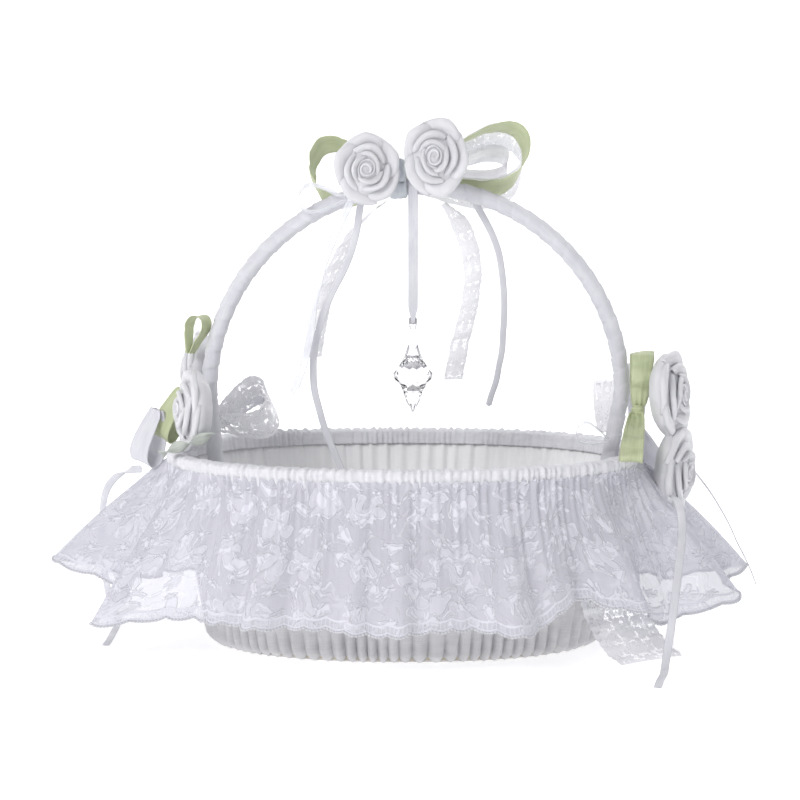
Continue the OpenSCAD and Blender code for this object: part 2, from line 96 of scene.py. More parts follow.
def throughPoints(points, count):
    # A smooth cubic through the points, cut into equal steps of its length
    p = np.asarray(points, float)
    e = np.vstack([2 * p[0] - p[1], p, 2 * p[-1] - p[-2]])
    t = np.linspace(0, len(p) - 1 - 1e-9, 40 * len(p))
    i, f = t.astype(int), (t % 1)[:, None]
    a, b, c, d = e[i], e[i + 1], e[i + 2], e[i + 3]
    fine = (2 * b + (c - a) * f + (2 * a - 5 * b + 4 * c - d) * f ** 2 + (3 * b - a - 3 * c + d) * f ** 3) / 2
    s = lengthAlong(fine)
    want = np.linspace(0, s[-1], count)
    return np.stack([np.interp(want, s, fine[:, k]) for k in range(3)], 1)


def waves(phase, pitch, total, seed, count=7):
    # Sum of count sine waves round a closed line of that total length, near the pitch, from -1 to 1
    draw = np.random.default_rng(seed)
    number = np.maximum(1, np.round(total / pitch * draw.uniform(0.7, 1.35, count)))
    start, size = draw.uniform(0, 2 * math.pi, count), draw.uniform(0.5, 1, count)
    return sum(a * np.sin(2 * math.pi * k * phase / total + q)
               for a, k, q in zip(size, number, start)) / size.sum() * 1.7


# Meshes

def gridPart(p, uv=None, wrapU=False, wrapV=False, flip=False):
    return dict(p=p, uv=uv, wrapU=wrapU, wrapV=wrapV, flip=flip)


def cornersOf(nu, nv, flip):
    i = np.arange(nu * nv).reshape(nu, nv)
    q = np.stack([i[:-1, :-1], i[1:, :-1], i[1:, 1:], i[:-1, 1:]], -1).reshape(-1, 4)
    return q[:, ::-1] if flip else q


def meshOf(name, parts, weld=False):
    # Each part is a grid of points in millimetres. The grids go side by side into one mesh
    points, faces, coords, base = [], [], [], 0
    for part in parts:
        p = part["p"]
        nu, nv = p.shape[:2]
        mu, mv = nu + part["wrapU"], nv + part["wrapV"]
        q = cornersOf(mu, mv, part["flip"])
        row, col = q // mv % nu, q % mv % nv
        uv = part["uv"]
        if uv is None:
            uv = np.stack(np.meshgrid(np.arange(mu), np.arange(mv), indexing="ij"), -1) * mm
        points.append(p.reshape(-1, 3) * mm)
        faces.append(row * nv + col + base)
        coords.append(uv.reshape(-1, 2)[q.ravel()])
        base += nu * nv
    points, faces = np.concatenate(points), np.concatenate(faces)
    mesh = bpy.data.meshes.new(name)
    mesh.vertices.add(len(points))
    mesh.vertices.foreach_set("co", points.ravel().astype(np.float32))
    mesh.loops.add(faces.size)
    mesh.loops.foreach_set("vertex_index", faces.ravel().astype(np.int32))
    mesh.polygons.add(len(faces))
    mesh.polygons.foreach_set("loop_start", np.arange(0, faces.size, 4, dtype=np.int32))
    mesh.polygons.foreach_set("use_smooth", np.full(len(faces), True))
    mesh.uv_layers.new(name="UVMap").data.foreach_set("uv", np.concatenate(coords).ravel().astype(np.float32))
    mesh.update(calc_edges=True)
    mesh.validate()
    if weld:
        work = bmesh.new()
        work.from_mesh(mesh)
        bmesh.ops.remove_doubles(work, verts=work.verts, dist=2e-6)
        bmesh.ops.dissolve_degenerate(work, edges=work.edges, dist=2e-6)
        work.to_mesh(mesh)
        work.free()
    return mesh


def place(name, mesh, material, body, nodes, thick=0.0):
    # Puts a finished mesh in the scene, on its body, in place of its CAD nodes
    piece = bpy.data.objects.new(name, mesh)
    scene.collection.objects.link(piece)
    mesh.materials.append(material)
    if thick:
        wall = piece.modifiers.new("wall", "SOLIDIFY")
        wall.thickness, wall.offset, wall.use_even_offset = thick * mm, 0, False
    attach(piece, body)
    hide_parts(*nodes)
    return piece


# Materials

def feed(tree, socket, value):
    if isinstance(value, bpy.types.NodeSocket):
        tree.links.new(value, socket)
    else:
        socket.default_value = value


def calc(tree, operation, *values, clamp=False):
    node = tree.nodes.new("ShaderNodeMath")
    node.operation, node.use_clamp = operation, clamp
    for socket, value in zip(node.inputs, values):
        feed(tree, socket, value)
    return node.outputs[0]


def times(tree, a, b):
    return calc(tree, "MULTIPLY", a, b)


def plus(tree, a, b):
    return calc(tree, "ADD", a, b)


def most(tree, first, *others):  # the largest of the values
    for other in others:
        first = calc(tree, "MAXIMUM", first, other)
    return first


def apart(tree, a, b):  # the distance between two numbers
    return calc(tree, "ABSOLUTE", calc(tree, "SUBTRACT", a, b))


def vectorCalc(tree, operation, a, b=None, scale=None):
    node = tree.nodes.new("ShaderNodeVectorMath")
    node.operation = operation
    feed(tree, node.inputs[0], a)
    if b is not None:
        feed(tree, node.inputs[1], b)
    if scale is not None:
        feed(tree, node.inputs["Scale"], scale)
    return node.outputs["Value" if operation in ("LENGTH", "DOT_PRODUCT") else "Vector"]


def ranged(tree, value, low, high, toLow=0.0, toHigh=1.0):
    node = tree.nodes.new("ShaderNodeMapRange")
    node.interpolation_type = "SMOOTHSTEP"
    for name, v in (("Value", value), ("From Min", low), ("From Max", high),
                    ("To Min", toLow), ("To Max", toHigh)):
        feed(tree, node.inputs[name], v)
    return node.outputs[0]


def mixColour(tree, factor, a, b):
    node = tree.nodes.new("ShaderNodeMix")
    node.data_type = "RGBA"
    for k, v in ((0, factor), (6, a), (7, b)):
        feed(tree, node.inputs[k], v)
    return node.outputs[2]


def noiseAt(tree, vector, scale, detail=2.0):
    node = tree.nodes.new("ShaderNodeTexNoise")
    for name, v in (("Vector", vector), ("Scale", scale), ("Detail", detail)):
        feed(tree, node.inputs[name], v)
    return node.outputs[0]


def cellsAt(tree, vector, scale, feature="F1", scatter=1.0):
    node = tree.nodes.new("ShaderNodeTexVoronoi")
    node.voronoi_dimensions, node.feature = "2D", feature
    for name, v in (("Vector", vector), ("Scale", scale), ("Randomness", scatter)):
        feed(tree, node.inputs[name], v)
    return node


def split(tree, vector):
    node = tree.nodes.new("ShaderNodeSeparateXYZ")
    feed(tree, node.inputs[0], vector)
    return node.outputs


def joinXyz(tree, x, y, z=0.0):
    node = tree.nodes.new("ShaderNodeCombineXYZ")
    for socket, v in zip(node.inputs, (x, y, z)):
        feed(tree, socket, v)
    return node.outputs[0]


def newGroup(name, inputs, outputs):
    group = bpy.data.node_groups.new(name, "ShaderNodeTree")
    for label, kind, value in inputs:
        socket = group.interface.new_socket(name=label, in_out="INPUT", socket_type=kind)
        if value is not None:
            socket.default_value = value
    for label, kind in outputs:
        group.interface.new_socket(name=label, in_out="OUTPUT", socket_type=kind)
    return group, group.nodes.new("NodeGroupInput").outputs, group.nodes.new("NodeGroupOutput").inputs


def useGroup(tree, group, **values):
    node = tree.nodes.new("ShaderNodeGroup")
    node.node_tree = group
    for name, v in values.items():
        feed(tree, node.inputs[name], v)
    return node.outputs


number, direction = "NodeSocketFloat", "NodeSocketVector"


def makeSatinWeave():
    # Long threads along the ribbon crossed by finer ones, plus soft creases. The vector is in metres
    # on the cloth
    g, given, out = newGroup("satinWeave",
                             [("Vector", direction, None), ("Threads", number, 3.2),
                              ("Crease", number, 0.5), ("Crease Size", number, 7.0)],
                             [("Height", number), ("Shade", number)])
    p = vectorCalc(g, "SCALE", given["Vector"], scale=1000.0)
    x, y = split(g, p)[:2]
    across = calc(g, "SINE", times(g, times(g, y, given["Threads"]), 6.283))
    over = calc(g, "SINE", times(g, times(g, x, given["Threads"]), 2.1))
    thread = times(g, plus(g, across, times(g, over, 0.4)), 0.035)
    size = calc(g, "DIVIDE", 1.0, given["Crease Size"])
    stretched = joinXyz(g, times(g, x, times(g, size, 0.45)), times(g, y, size))
    fold = noiseAt(g, stretched, 1.0, 3.0)
    # painted sheen: pale stripes along the ribbon's length, used only for the colour below
    paintedSheenStripe = noiseAt(g, joinXyz(g, times(g, x, 0.06), times(g, y, 1.3)), 1.0, 2.0)
    height = plus(g, times(g, fold, given["Crease"]), thread)
    g.links.new(height, out["Height"])
    # Shade is painted light: darker in the crease hollows (painted shade), lighter in the stripes (painted
    # sheen)
    shade = plus(g, times(g, fold, 0.6), times(g, paintedSheenStripe, 0.4))
    g.links.new(shade, out["Shade"])
    return g


def makeLaceNet():
    # Flowers of five petals with a cord outline, small blossoms, vines and a fine net, and bands by the hem.
    # x runs along the lace and y up from its hem, in metres
    g, given, out = newGroup("laceNet",
                             [("Vector", direction, None), ("Flower Size", number, 23.0),
                              ("Film", number, 0.4), ("Hem", number, 1.0)],
                             [("Alpha", number), ("Thread", number), ("Height", number)])
    p = vectorCalc(g, "SCALE", given["Vector"], scale=1000.0)
    x, y = split(g, p)[:2]
    flat = joinXyz(g, x, y)
    # slow noise pushes the pattern about, so that flowers swirl
    drive = vectorCalc(g, "SCALE", flat, scale=0.075)
    other = vectorCalc(g, "ADD", drive, (31.0, 17.0, 0))
    push = joinXyz(g, noiseAt(g, drive, 1.0, 1.5), noiseAt(g, other, 1.0, 1.5))
    sway = times(g, given["Flower Size"], 0.75)
    push = vectorCalc(g, "SUBTRACT", push, (0.5, 0.5, 0))
    p = vectorCalc(g, "ADD", flat, vectorCalc(g, "SCALE", push, scale=sway))

    def blossom(pitch, petals, reach, depth, shift):
        at = vectorCalc(g, "ADD", p, (shift, shift * 0.6, 0))
        cells = cellsAt(g, at, calc(g, "DIVIDE", 1.0, pitch), scatter=0.45)
        away = vectorCalc(g, "SUBTRACT", at, cells.outputs["Position"])
        ax, ay = split(g, away)[:2]
        r = vectorCalc(g, "LENGTH", away)
        tone = split(g, cells.outputs["Color"])
        angle = plus(g, calc(g, "ARCTAN2", ay, ax), times(g, tone[0], 6.28))
        lobes = calc(g, "ABSOLUTE", calc(g, "COSINE", times(g, angle, petals / 2)))
        edge = plus(g, times(g, lobes, times(g, pitch, depth)), times(g, pitch, reach))
        gap = calc(g, "SUBTRACT", r, edge)
        filled = ranged(g, gap, 0.3, -0.1)
        cord = ranged(g, calc(g, "ABSOLUTE", gap), 0.75, 0.3)
        veins = times(g, ranged(g, lobes, 0.25, 0.08), filled)
        core = ranged(g, r, 1.9, 1.3)
        return filled, most(g, cord, core, times(g, veins, 0.7))

    bigFill, bigCord = blossom(given["Flower Size"], 5, 0.15, 0.19, 0.0)
    smallFill, smallCord = blossom(times(g, given["Flower Size"], 0.47), 6, 0.12, 0.17, 31.7)
    drift = noiseAt(g, vectorCalc(g, "SCALE", p, scale=0.055), 1.0, 1.0)
    vine = times(g, ranged(g, apart(g, drift, 0.5), 0.02, 0.008), 0.75)
    leaf = noiseAt(g, vectorCalc(g, "SCALE", p, scale=0.2), 1.0, 1.0)
    leafFill = ranged(g, leaf, 0.6, 0.63)
    leafCord = times(g, ranged(g, apart(g, leaf, 0.615), 0.022, 0.008), 0.7)
    net = ranged(g, cellsAt(g, flat, 0.62, "DISTANCE_TO_EDGE", 0.35).outputs[0], 0.16, 0.07)
    # bands beside the hem: a solid edge, an open ladder, and a second cord
    edgeBand = ranged(g, y, 1.9, 1.5)
    cordBand = ranged(g, apart(g, y, 5.2), 0.85, 0.5)
    rungs = times(g, ranged(g, y, 5.2, 4.9), ranged(g, calc(g, "SINE", times(g, x, 3.1)), 0.1, 0.6))
    hem = times(g, most(g, edgeBand, cordBand, times(g, rungs, 0.8)), given["Hem"])
    fill = most(g, bigFill, smallFill, times(g, leafFill, 0.9))
    cord = most(g, bigCord, smallCord, vine, leafCord, hem)
    alpha = calc(g, "MAXIMUM", most(g, times(g, net, 0.75), given["Film"], times(g, fill, 0.86)), cord,
                 clamp=True)
    g.links.new(alpha, out["Alpha"])
    g.links.new(most(g, times(g, fill, 0.55), cord), out["Thread"])
    g.links.new(plus(g, times(g, cord, 0.6), times(g, fill, 0.4)), out["Height"])
    return g


satinWeave, laceNet = makeSatinWeave(), makeLaceNet()


def newMaterial(name, roughness):
    material = bpy.data.materials.new(name)
    material.use_nodes = True
    tree = material.node_tree
    shader = tree.nodes["Principled BSDF"]
    shader.inputs["Roughness"].default_value = roughness
    return material, tree, shader


def clothVector(tree):
    node = tree.nodes.new("ShaderNodeUVMap")
    node.uv_map = "UVMap"
    return node.outputs[0]


def bumped(tree, shader, height, distance, strength=1.0):
    bump = tree.nodes.new("ShaderNodeBump")
    bump.inputs["Distance"].default_value = distance
    bump.inputs["Strength"].default_value = strength
    tree.links.new(height, bump.inputs["Height"])
    tree.links.new(bump.outputs[0], shader.inputs["Normal"])


def satin(name, light, dark, roughness=0.36, crease=0.5, creaseSize=7.0, sheen=0.15, threads=3.2):
    material, tree, shader = newMaterial(name, roughness)
    weave = useGroup(tree, satinWeave, Vector=clothVector(tree), Threads=threads, Crease=crease,
                     **{"Crease Size": creaseSize})
    # The base colour is painted light: its dark tone follows the crease hollows as painted shade, its light
    # tone the stripes as painted sheen
    tone = ranged(tree, weave["Shade"], 0.3, 0.72)
    tree.links.new(mixColour(tree, tone, (*dark, 1), (*light, 1)), shader.inputs["Base Color"])
    tree.links.new(ranged(tree, weave["Shade"], 0.3, 0.7, roughness + 0.08, roughness - 0.06),
                   shader.inputs["Roughness"])
    bumped(tree, shader, weave["Height"], 0.0011)
    shader.inputs["Sheen Weight"].default_value = sheen
    shader.inputs["Sheen Roughness"].default_value = 0.4
    return material


def lace(name, light, dark, film, flowerSize=23.0, hem=1.0, relief=0.0003):
    material, tree, shader = newMaterial(name, 0.75)
    net = useGroup(tree, laceNet, Vector=clothVector(tree), Film=film, Hem=hem, **{"Flower Size": flowerSize})
    tree.links.new(mixColour(tree, net["Thread"], (*dark, 1), (*light, 1)), shader.inputs["Base Color"])
    tree.links.new(net["Alpha"], shader.inputs["Alpha"])
    shader.inputs["Specular IOR Level"].default_value = 0.2
    bumped(tree, shader, net["Height"], relief)
    return material


def organza(name, light, dark, film):
    material, tree, shader = newMaterial(name, 0.4)
    weave = useGroup(tree, satinWeave, Vector=clothVector(tree), Threads=2.4, Crease=0.4,
                     **{"Crease Size": 6.0})
    # The colour is painted light as in satin: painted shade in the crease hollows, painted sheen in the
    # stripes
    tree.links.new(mixColour(tree, weave["Shade"], (*dark, 1), (*light, 1)), shader.inputs["Base Color"])
    tree.links.new(ranged(tree, weave["Shade"], 0.25, 0.75, film + 0.18, film - 0.1), shader.inputs["Alpha"])
    bumped(tree, shader, weave["Height"], 0.0006)
    return material


def grained(name, light, dark, roughness, scale, metallic=0.0, depth=0.0002):
    material, tree, shader = newMaterial(name, roughness)
    grid = tree.nodes.new("ShaderNodeTexCoord").outputs["Object"]
    grain = noiseAt(tree, vectorCalc(tree, "SCALE", grid, scale=1000.0), scale, 4.0)
    tree.links.new(mixColour(tree, ranged(tree, grain, 0.3, 0.7), (*dark, 1), (*light, 1)),
                   shader.inputs["Base Color"])
    shader.inputs["Metallic"].default_value = metallic
    bumped(tree, shader, grain, depth)
    return material


def cutGlass(name):
    material, tree, shader = newMaterial(name, 0.02)
    grid = tree.nodes.new("ShaderNodeTexCoord").outputs["Object"]
    haze = noiseAt(tree, vectorCalc(tree, "SCALE", grid, scale=1000.0), 0.2, 2.0)
    tree.links.new(ranged(tree, haze, 0.3, 0.7, 0.0, 0.05), shader.inputs["Roughness"])
    shader.inputs["Base Color"].default_value = (0.89, 0.89, 0.91, 1)
    shader.inputs["Transmission Weight"].default_value = 1.0
    shader.inputs["IOR"].default_value = 1.49
    return material


whiteSatin = satin("whiteSatin", (0.75, 0.75, 0.79), (0.65, 0.65, 0.70), 0.38)
roseSatin = satin("roseSatin", (0.87, 0.87, 0.90), (0.79, 0.79, 0.83), 0.36, 0.9, 6.0, 0.2)
roseShader = roseSatin.node_tree.nodes["Principled BSDF"]
roseShader.inputs["Subsurface Weight"].default_value = 0.4
roseShader.inputs["Subsurface Radius"].default_value = (1.0, 1.0, 1.0)
roseShader.inputs["Subsurface Scale"].default_value = 0.004
sageSatin = satin("sageSatin", (0.61, 0.66, 0.43), (0.46, 0.52, 0.30), 0.34, 0.6, 7.0, 0.1)
paleBlueSatin = satin("paleBlueSatin", (0.77, 0.81, 0.86), (0.69, 0.735, 0.79), 0.36, 0.6, 4.0)
coverSatin = satin("coverSatin", (0.74, 0.735, 0.75), (0.63, 0.625, 0.64), 0.42, 0.8, 6.0)
bindingSatin = satin("bindingSatin", (0.79, 0.79, 0.82), (0.71, 0.71, 0.75), 0.42, 0.9, 4.0)
# painted light: the lining's satin is painted far lighter than the outer white satin, to lift the shade
# inside the basket
liningSatinPaintedLight = satin("liningSatinPaintedLight", (0.98, 0.98, 0.985), (0.95, 0.95, 0.96), 0.42, 0.7, 9.0)
flounceLace = lace("flounceLace", (0.675, 0.675, 0.735), (0.60, 0.60, 0.665), 0.72, 26.0)
ribbonLace = lace("ribbonLace", (0.90, 0.90, 0.925), (0.80, 0.80, 0.83), 0.16, 8.0, relief=0.0001)
sheerRibbon = organza("sheerRibbon", (0.92, 0.93, 0.96), (0.80, 0.81, 0.86), 0.5)
greyOrganza = organza("greyOrganza", (0.82, 0.82, 0.87), (0.68, 0.68, 0.75), 0.72)
greyGreenSatin = satin("greyGreenSatin", (0.62, 0.65, 0.60), (0.40, 0.43, 0.40), 0.36, 0.6, 4.0)
crystalGlass = cutGlass("crystalGlass")
print("materials made")

# The narrow ribbons that hang or lie free, along the solid model's own routes

narrowTails = dict(
    top_sheer_tail=dict(
        width=4.0, material=sheerRibbon, slot="organza", lay="hanging",
        ends=((1, .2, .2), (1, -.3, 0)), route=[
        (-25.5, -9.4, 229), (-28, -14, 222), (-31.5, -14, 215), (-35, -12.5, 207), (-38.5, -13, 198.5),
        (-41.5, -13, 190), (-43.5, -13, 182), (-45.5, -13, 173.5), (-46.5, -13, 165), (-47.5, -13, 156.5),
        (-49, -13, 149), (-51, -13, 141), (-53.5, -13, 134), (-56, -13, 127)]),
    top_narrow_tail_left=dict(
        width=3.6, material=whiteSatin, slot="satin_white", lay="hanging",
        ends=((1, .2, .2), (1, -.3, 0)), route=[
        (-21, -6.5, 229), (-22.5, -8, 219), (-24, -8.5, 209), (-27, -9, 198), (-31, -9, 188.5),
        (-36, -9, 179), (-40, -9, 169.5), (-43, -9, 159.5), (-45.5, -9, 149.5), (-46, -9, 139),
        (-45.5, -9, 129),
        (-43, -9, 118.5), (-40, -9, 108), (-36, -9, 98), (-32, -9, 88), (-29.5, -9, 80)]),
    top_narrow_tail_right=dict(
        width=3.6, material=whiteSatin, slot="satin_white", lay="hanging",
        ends=((1, .2, .4), (.9, .4, 0)), route=[
        (33.5, 7, 230), (37, 8.5, 222), (41.5, 9.5, 214), (45.5, 10.5, 206), (48.5, 11, 197.5),
        (50, 11, 189.5), (51, 11, 181), (51.5, 11, 172.5), (51.5, 11, 164), (51, 11, 155.5), (50.5, 11, 147),
        (49, 11, 139), (47.5, 11, 131), (45, 11, 123.5), (43.5, 11, 118)]),
    left_narrow_tail=dict(
        width=4.0, material=whiteSatin, slot="satin_white", lay="loose",
        ends=((.5, -.6, .3), (1, .1, 0)), route=[
        (-136, 22, 84), (-144, 31, 82), (-152, 41, 77), (-158, 50, 69), (-161, 57, 58), (-162, 61, 46),
        (-162, 63, 34), (-161, 64, 22), (-159, 63, 10), (-156, 58, 2), (-153, 47, 1), (-151, 34, 1),
        (-150.5, 20, 1), (-150.5, 5, 1), (-150.5, -12, 1), (-151, -31, 1)]),
    right_narrow_tail=dict(
        width=4.0, material=whiteSatin, slot="satin_white", lay="loose",
        ends=((1, 0, 0), (1, .1, 0)), route=[
        (134, -22, 76), (136.5, -29, 76), (138, -38, 72), (138, -48, 66), (137, -58, 59), (135, -67, 50),
        (133, -75, 40), (131, -81, 29), (129, -86, 18), (127, -90, 8), (125.5, -95, 1.5), (124, -103, 1),
        (122, -112, 1), (120.5, -121, 1), (119, -130, 1)]),
    right_far_tail=dict(
        width=4.0, material=whiteSatin, slot="satin_white", lay="hanging",
        ends=((.2, 1, .2), (0, 1, .3)), route=[
        (131, 30, 91), (137, 32, 91), (143, 33, 89), (150, 36, 84), (156, 38, 77), (162, 39, 69),
        (167, 39, 61), (172, 38, 52), (176, 36, 43), (180, 33, 35), (183, 29, 28), (185, 25, 22)]),
)


def narrowRibbon(name, width, material, slot, lay, ends, route, sides=12, thick=0.5):
    # An oval section, width by thick, carried along the route, turning from the first width direction
    # to the last
    line = throughPoints(route, 8 * len(route))
    f = np.linspace(0, 1, len(line))[:, None]
    along = unit(np.gradient(line, axis=0))
    across = unit(np.array(ends[0]) * (1 - f) + np.array(ends[1]) * f)
    across = unit(across - along * (across * along).sum(1, keepdims=True))
    normal = np.cross(along, across)
    a = 2 * math.pi * np.arange(sides) / sides
    close = np.ones(len(line))
    close[[0, -1]] = 0.02
    p = line[:, None] + close[:, None, None] * (
        across[:, None] * (width / 2 * np.cos(a))[None, :, None]
        - normal[:, None] * (thick / 2 * np.sin(a))[None, :, None])
    p[..., 2] = np.maximum(p[..., 2], 0.15)
    s = lengthAlong(line)
    uv = np.stack(np.broadcast_arrays(s[:, None], width / 2 * np.cos(np.append(a, 0))[None, :]), -1) * mm
    piece = place(name.replace("_", "-"), meshOf(name, [gridPart(p, uv, wrapV=True)]), material, "basket",
                  [name])


for tailName, tail in narrowTails.items():
    narrowRibbon(tailName, **tail)
print("narrow tails laid")

# Ribbon, bow and rose makers

def ribbonGrid(route, across, width, cols=11, cup=0.0, ripple=0.0, gather=None, scallop=0.0, seed=1):
    # A strip: the route plus the width direction, with a cupped section, small ripples, and gathers at
    # its tie. Lace has scalloped edges, and its pattern is measured from the nearer edge
    route, across = np.asarray(route, float), np.broadcast_to(across, np.shape(route))
    s = lengthAlong(route)
    along = unit(np.gradient(route, axis=0))
    normal = unit(np.cross(along, across))
    v = np.linspace(-1, 1, cols)
    w = np.broadcast_to(width, len(route)) / 2
    w = w + scallop * np.abs(np.sin(math.pi * s / 3.2))
    total = max(s[-1], 12)
    lift = cup * (1 - v[None, :] ** 2) + ripple * (
        waves(s, 11, total, seed)[:, None] + 0.5 * waves(s, 5, total, seed + 7)[:, None] * v[None, :])
    if gather is not None:
        lift = lift + gather[:, None] * np.cos(3 * math.pi * v)[None, :]
    side = w[:, None] * v[None, :]
    p = route[:, None] + across[:, None] * side[..., None] + normal[:, None] * lift[..., None]
    if scallop > 0:
        side = w[:, None] - np.abs(side)
    uv = np.stack(np.broadcast_arrays(s[:, None], side), -1) * mm
    return gridPart(p, uv)


def loopRoute(root, out, open_, length, height, n=72):
    # Out from the root and back, widest past the middle: (1 - cos f) / 2 along out, sin f of it across
    f = np.linspace(0, 2 * math.pi, n)[:, None]
    return (np.asarray(root, float) + unit(np.array(out, float)) * length * (1 - np.cos(f)) / 2
            + unit(np.array(open_, float))
            * (height * 0.65 * np.sin(f) * (1 - np.cos(f)) / 2 + 0.9 * np.cos(f / 2)))


def loopGrid(root, out, open_, length, height, across, width, pinch=0.35, gather=0.7, cup=0.5, turn=None,
             ripple=0.25, scallop=0.0, seed=3):
    route = loopRoute(root, out, open_, length, height)
    f = np.linspace(0, 1, len(route))
    first, last = np.array(across, float), np.array(across if turn is None else turn, float)
    lean = unit(first[None] * (1 - ease(f))[:, None] + last[None] * ease(f)[:, None])
    near = 1 - np.sin(math.pi * f)
    wide = width * (pinch + (1 - pinch) * np.sin(math.pi * f) ** 0.6)
    return ribbonGrid(route, lean, wide, 13, cup, ripple, gather * near ** 2, scallop, seed)


def knotGrid(at, axis, width, radius, seed=5):
    # A short wound band round the roots of the loops: a ring of pleated satin with its ends drawn in
    axis = unit(np.array(axis, float))
    side = unit(np.cross(axis, (0.3, 0.5, 0.81)))
    up = np.cross(axis, side)
    u, v = np.linspace(0, 2 * math.pi, 40, endpoint=False), np.linspace(-1, 1, 15)
    r = radius * (0.15 + 0.85 * (1 - np.abs(v) ** 3.5)) * (1 + 0.07 * np.sin(9 * v)) + 0 * u[:, None]
    r = r * (1 + 0.06 * np.sin(3 * u[:, None] + 2 * v + seed))
    p = (np.asarray(at, float) + axis * (width / 2 * v)[None, :, None]
         + r[..., None] * (side * np.cos(u)[:, None, None] + up * np.sin(u)[:, None, None]))
    uv = np.stack(np.meshgrid(np.linspace(0, 2 * math.pi * radius, 41), width / 2 * v,
                              indexing="ij"), -1) * mm
    return gridPart(p, uv, wrapU=True)


def framed(at, axis, spin=0.0):
    # Turns points made round +Z into place, pointing along the axis
    z = unit(np.array(axis, float))
    x = unit(np.cross((0, 0, 1.0), z) if abs(z[2]) < 0.95 else np.array((1.0, 0, 0)))
    y = np.cross(z, x)
    c, s = math.cos(spin), math.sin(spin)
    turn = np.stack([x * c + y * s, -x * s + y * c, z])
    return lambda p: np.asarray(at, float) + p @ turn


roseShape = dict(radius=17.0, depth=18.0, thick=0.45)
petalRows = [  # as shares of the rose's radius and depth, from the outer row to the inner
    dict(count=5, first=0.0, spread=0.86, foot=0.4, rim=0.80, low=0.16, high=0.66, roll=0.085, point=0.10,
         tuck=0.9, seed=0, uneven=True),
    dict(count=3, first=0.4, spread=1.0, foot=0.3, rim=0.56, low=0.2, high=0.82, roll=0.07, point=0.03,
         tuck=0.8, seed=20, uneven=True),
    dict(count=3, first=0.2, spread=1.25, foot=0.2, rim=0.36, low=0.3, high=0.92, roll=0.055, point=0.0,
         tuck=0.7, seed=40, uneven=False)]


def petalGrid(turn, spread, foot, rim, low, high, roll, point, tuck, seed, nu=25, nv=22):
    # A petal rises from foot to rim as a quarter wave, stays wide, and its rim rolls back over in an arc.
    # point pulls the middle of the rim out, tuck moves one side in under its neighbour
    a, b = np.meshgrid(np.linspace(-1, 1, nu), np.linspace(0, 1, nv), indexing="ij")
    draw = np.random.default_rng(seed)
    rise = np.clip(b / 0.72, 0, 1)
    curl = np.clip((b - 0.72) / 0.28, 0, 1) * math.pi * draw.uniform(0.95, 1.25)
    r = foot + (rim - foot) * rise ** 1.5 + roll * np.sin(curl)
    r = r + point * (1 - np.abs(a)) ** 1.4 * rise ** 2 + tuck * a
    droop = 1 - 0.22 * np.abs(a) ** 2.5
    z = low + (high - low) * np.sin(rise * math.pi / 2) * droop - roll * (1 - np.cos(curl)) * 0.9
    wave = 0.35 * np.sin(3.1 * a + draw.uniform(0, 6)) * rise
    angle = turn + spread * a * (0.6 + 0.4 * rise)
    p = np.stack([(r + wave) * np.cos(angle), (r + wave) * np.sin(angle), z + 0.5 * wave], -1)
    uv = np.stack([a * spread * rim, b * (high - low + 2 * roll)], -1) * mm
    return gridPart(p, uv)


def budGrid(turns, first, last, low, high, seed):
    # A rolled strip: the radius grows evenly with the turn, the rim leans out and drops a little on each turn
    t, b = np.meshgrid(np.linspace(0, 1, 46 * turns), np.linspace(0, 1, 12), indexing="ij")
    angle = 2 * math.pi * turns * t + seed
    lean = np.clip((b - 0.7) / 0.3, 0, 1)
    r = first + (last - first) * t + 0.5 * b ** 2 + 0.75 * lean ** 2 + 0.3 * np.sin(5 * angle / 3 + seed) * b
    z = low + (high - low) * b * (1 - 0.16 * t) - 0.5 * lean ** 3 + 0.25 * np.sin(2 * angle) * b
    p = np.stack([r * np.cos(angle), r * np.sin(angle), z], -1)
    uv = np.stack([t * math.pi * turns * (first + last), b * (high - low)], -1) * mm
    return gridPart(p, uv)


def cupGrid(radius, depth):
    # The satin back of the rose: a bowl turned from its foot to under the outer petals
    profile = throughPoints([(0.01, 0, 0), (0.42 * radius, 0, 0), (0.66 * radius, 0.07 * depth, 0),
                             (0.82 * radius, 0.22 * depth, 0), (0.91 * radius, 0.4 * depth, 0),
                             (0.88 * radius, 0.57 * depth, 0)], 18)
    u = np.linspace(0, 2 * math.pi, 48, endpoint=False)
    ridge = 1 + 0.03 * np.sin(9 * u)[:, None] * np.linspace(0, 1, 18)[None, :]
    r = profile[None, :, 0] * ridge
    p = np.stack([r * np.cos(u)[:, None], r * np.sin(u)[:, None],
                  np.broadcast_to(profile[None, :, 1], r.shape)], -1)
    return gridPart(p, None, wrapU=True, flip=True)


def fillGrid(radius, depth):
    # A soft dome just under the rolled rims, so the gaps between petals stay shallow
    b, u = np.linspace(0.01, 1, 16), np.linspace(0, 2 * math.pi, 48, endpoint=False)
    r = 0.76 * radius * b[None, :] * (1 + 0.02 * np.sin(5 * u)[:, None])
    z = np.broadcast_to(depth * (0.84 - 0.34 * b ** 1.6)[None, :], r.shape)
    return gridPart(np.stack([r * np.cos(u)[:, None], r * np.sin(u)[:, None], z], -1), None, wrapU=True)


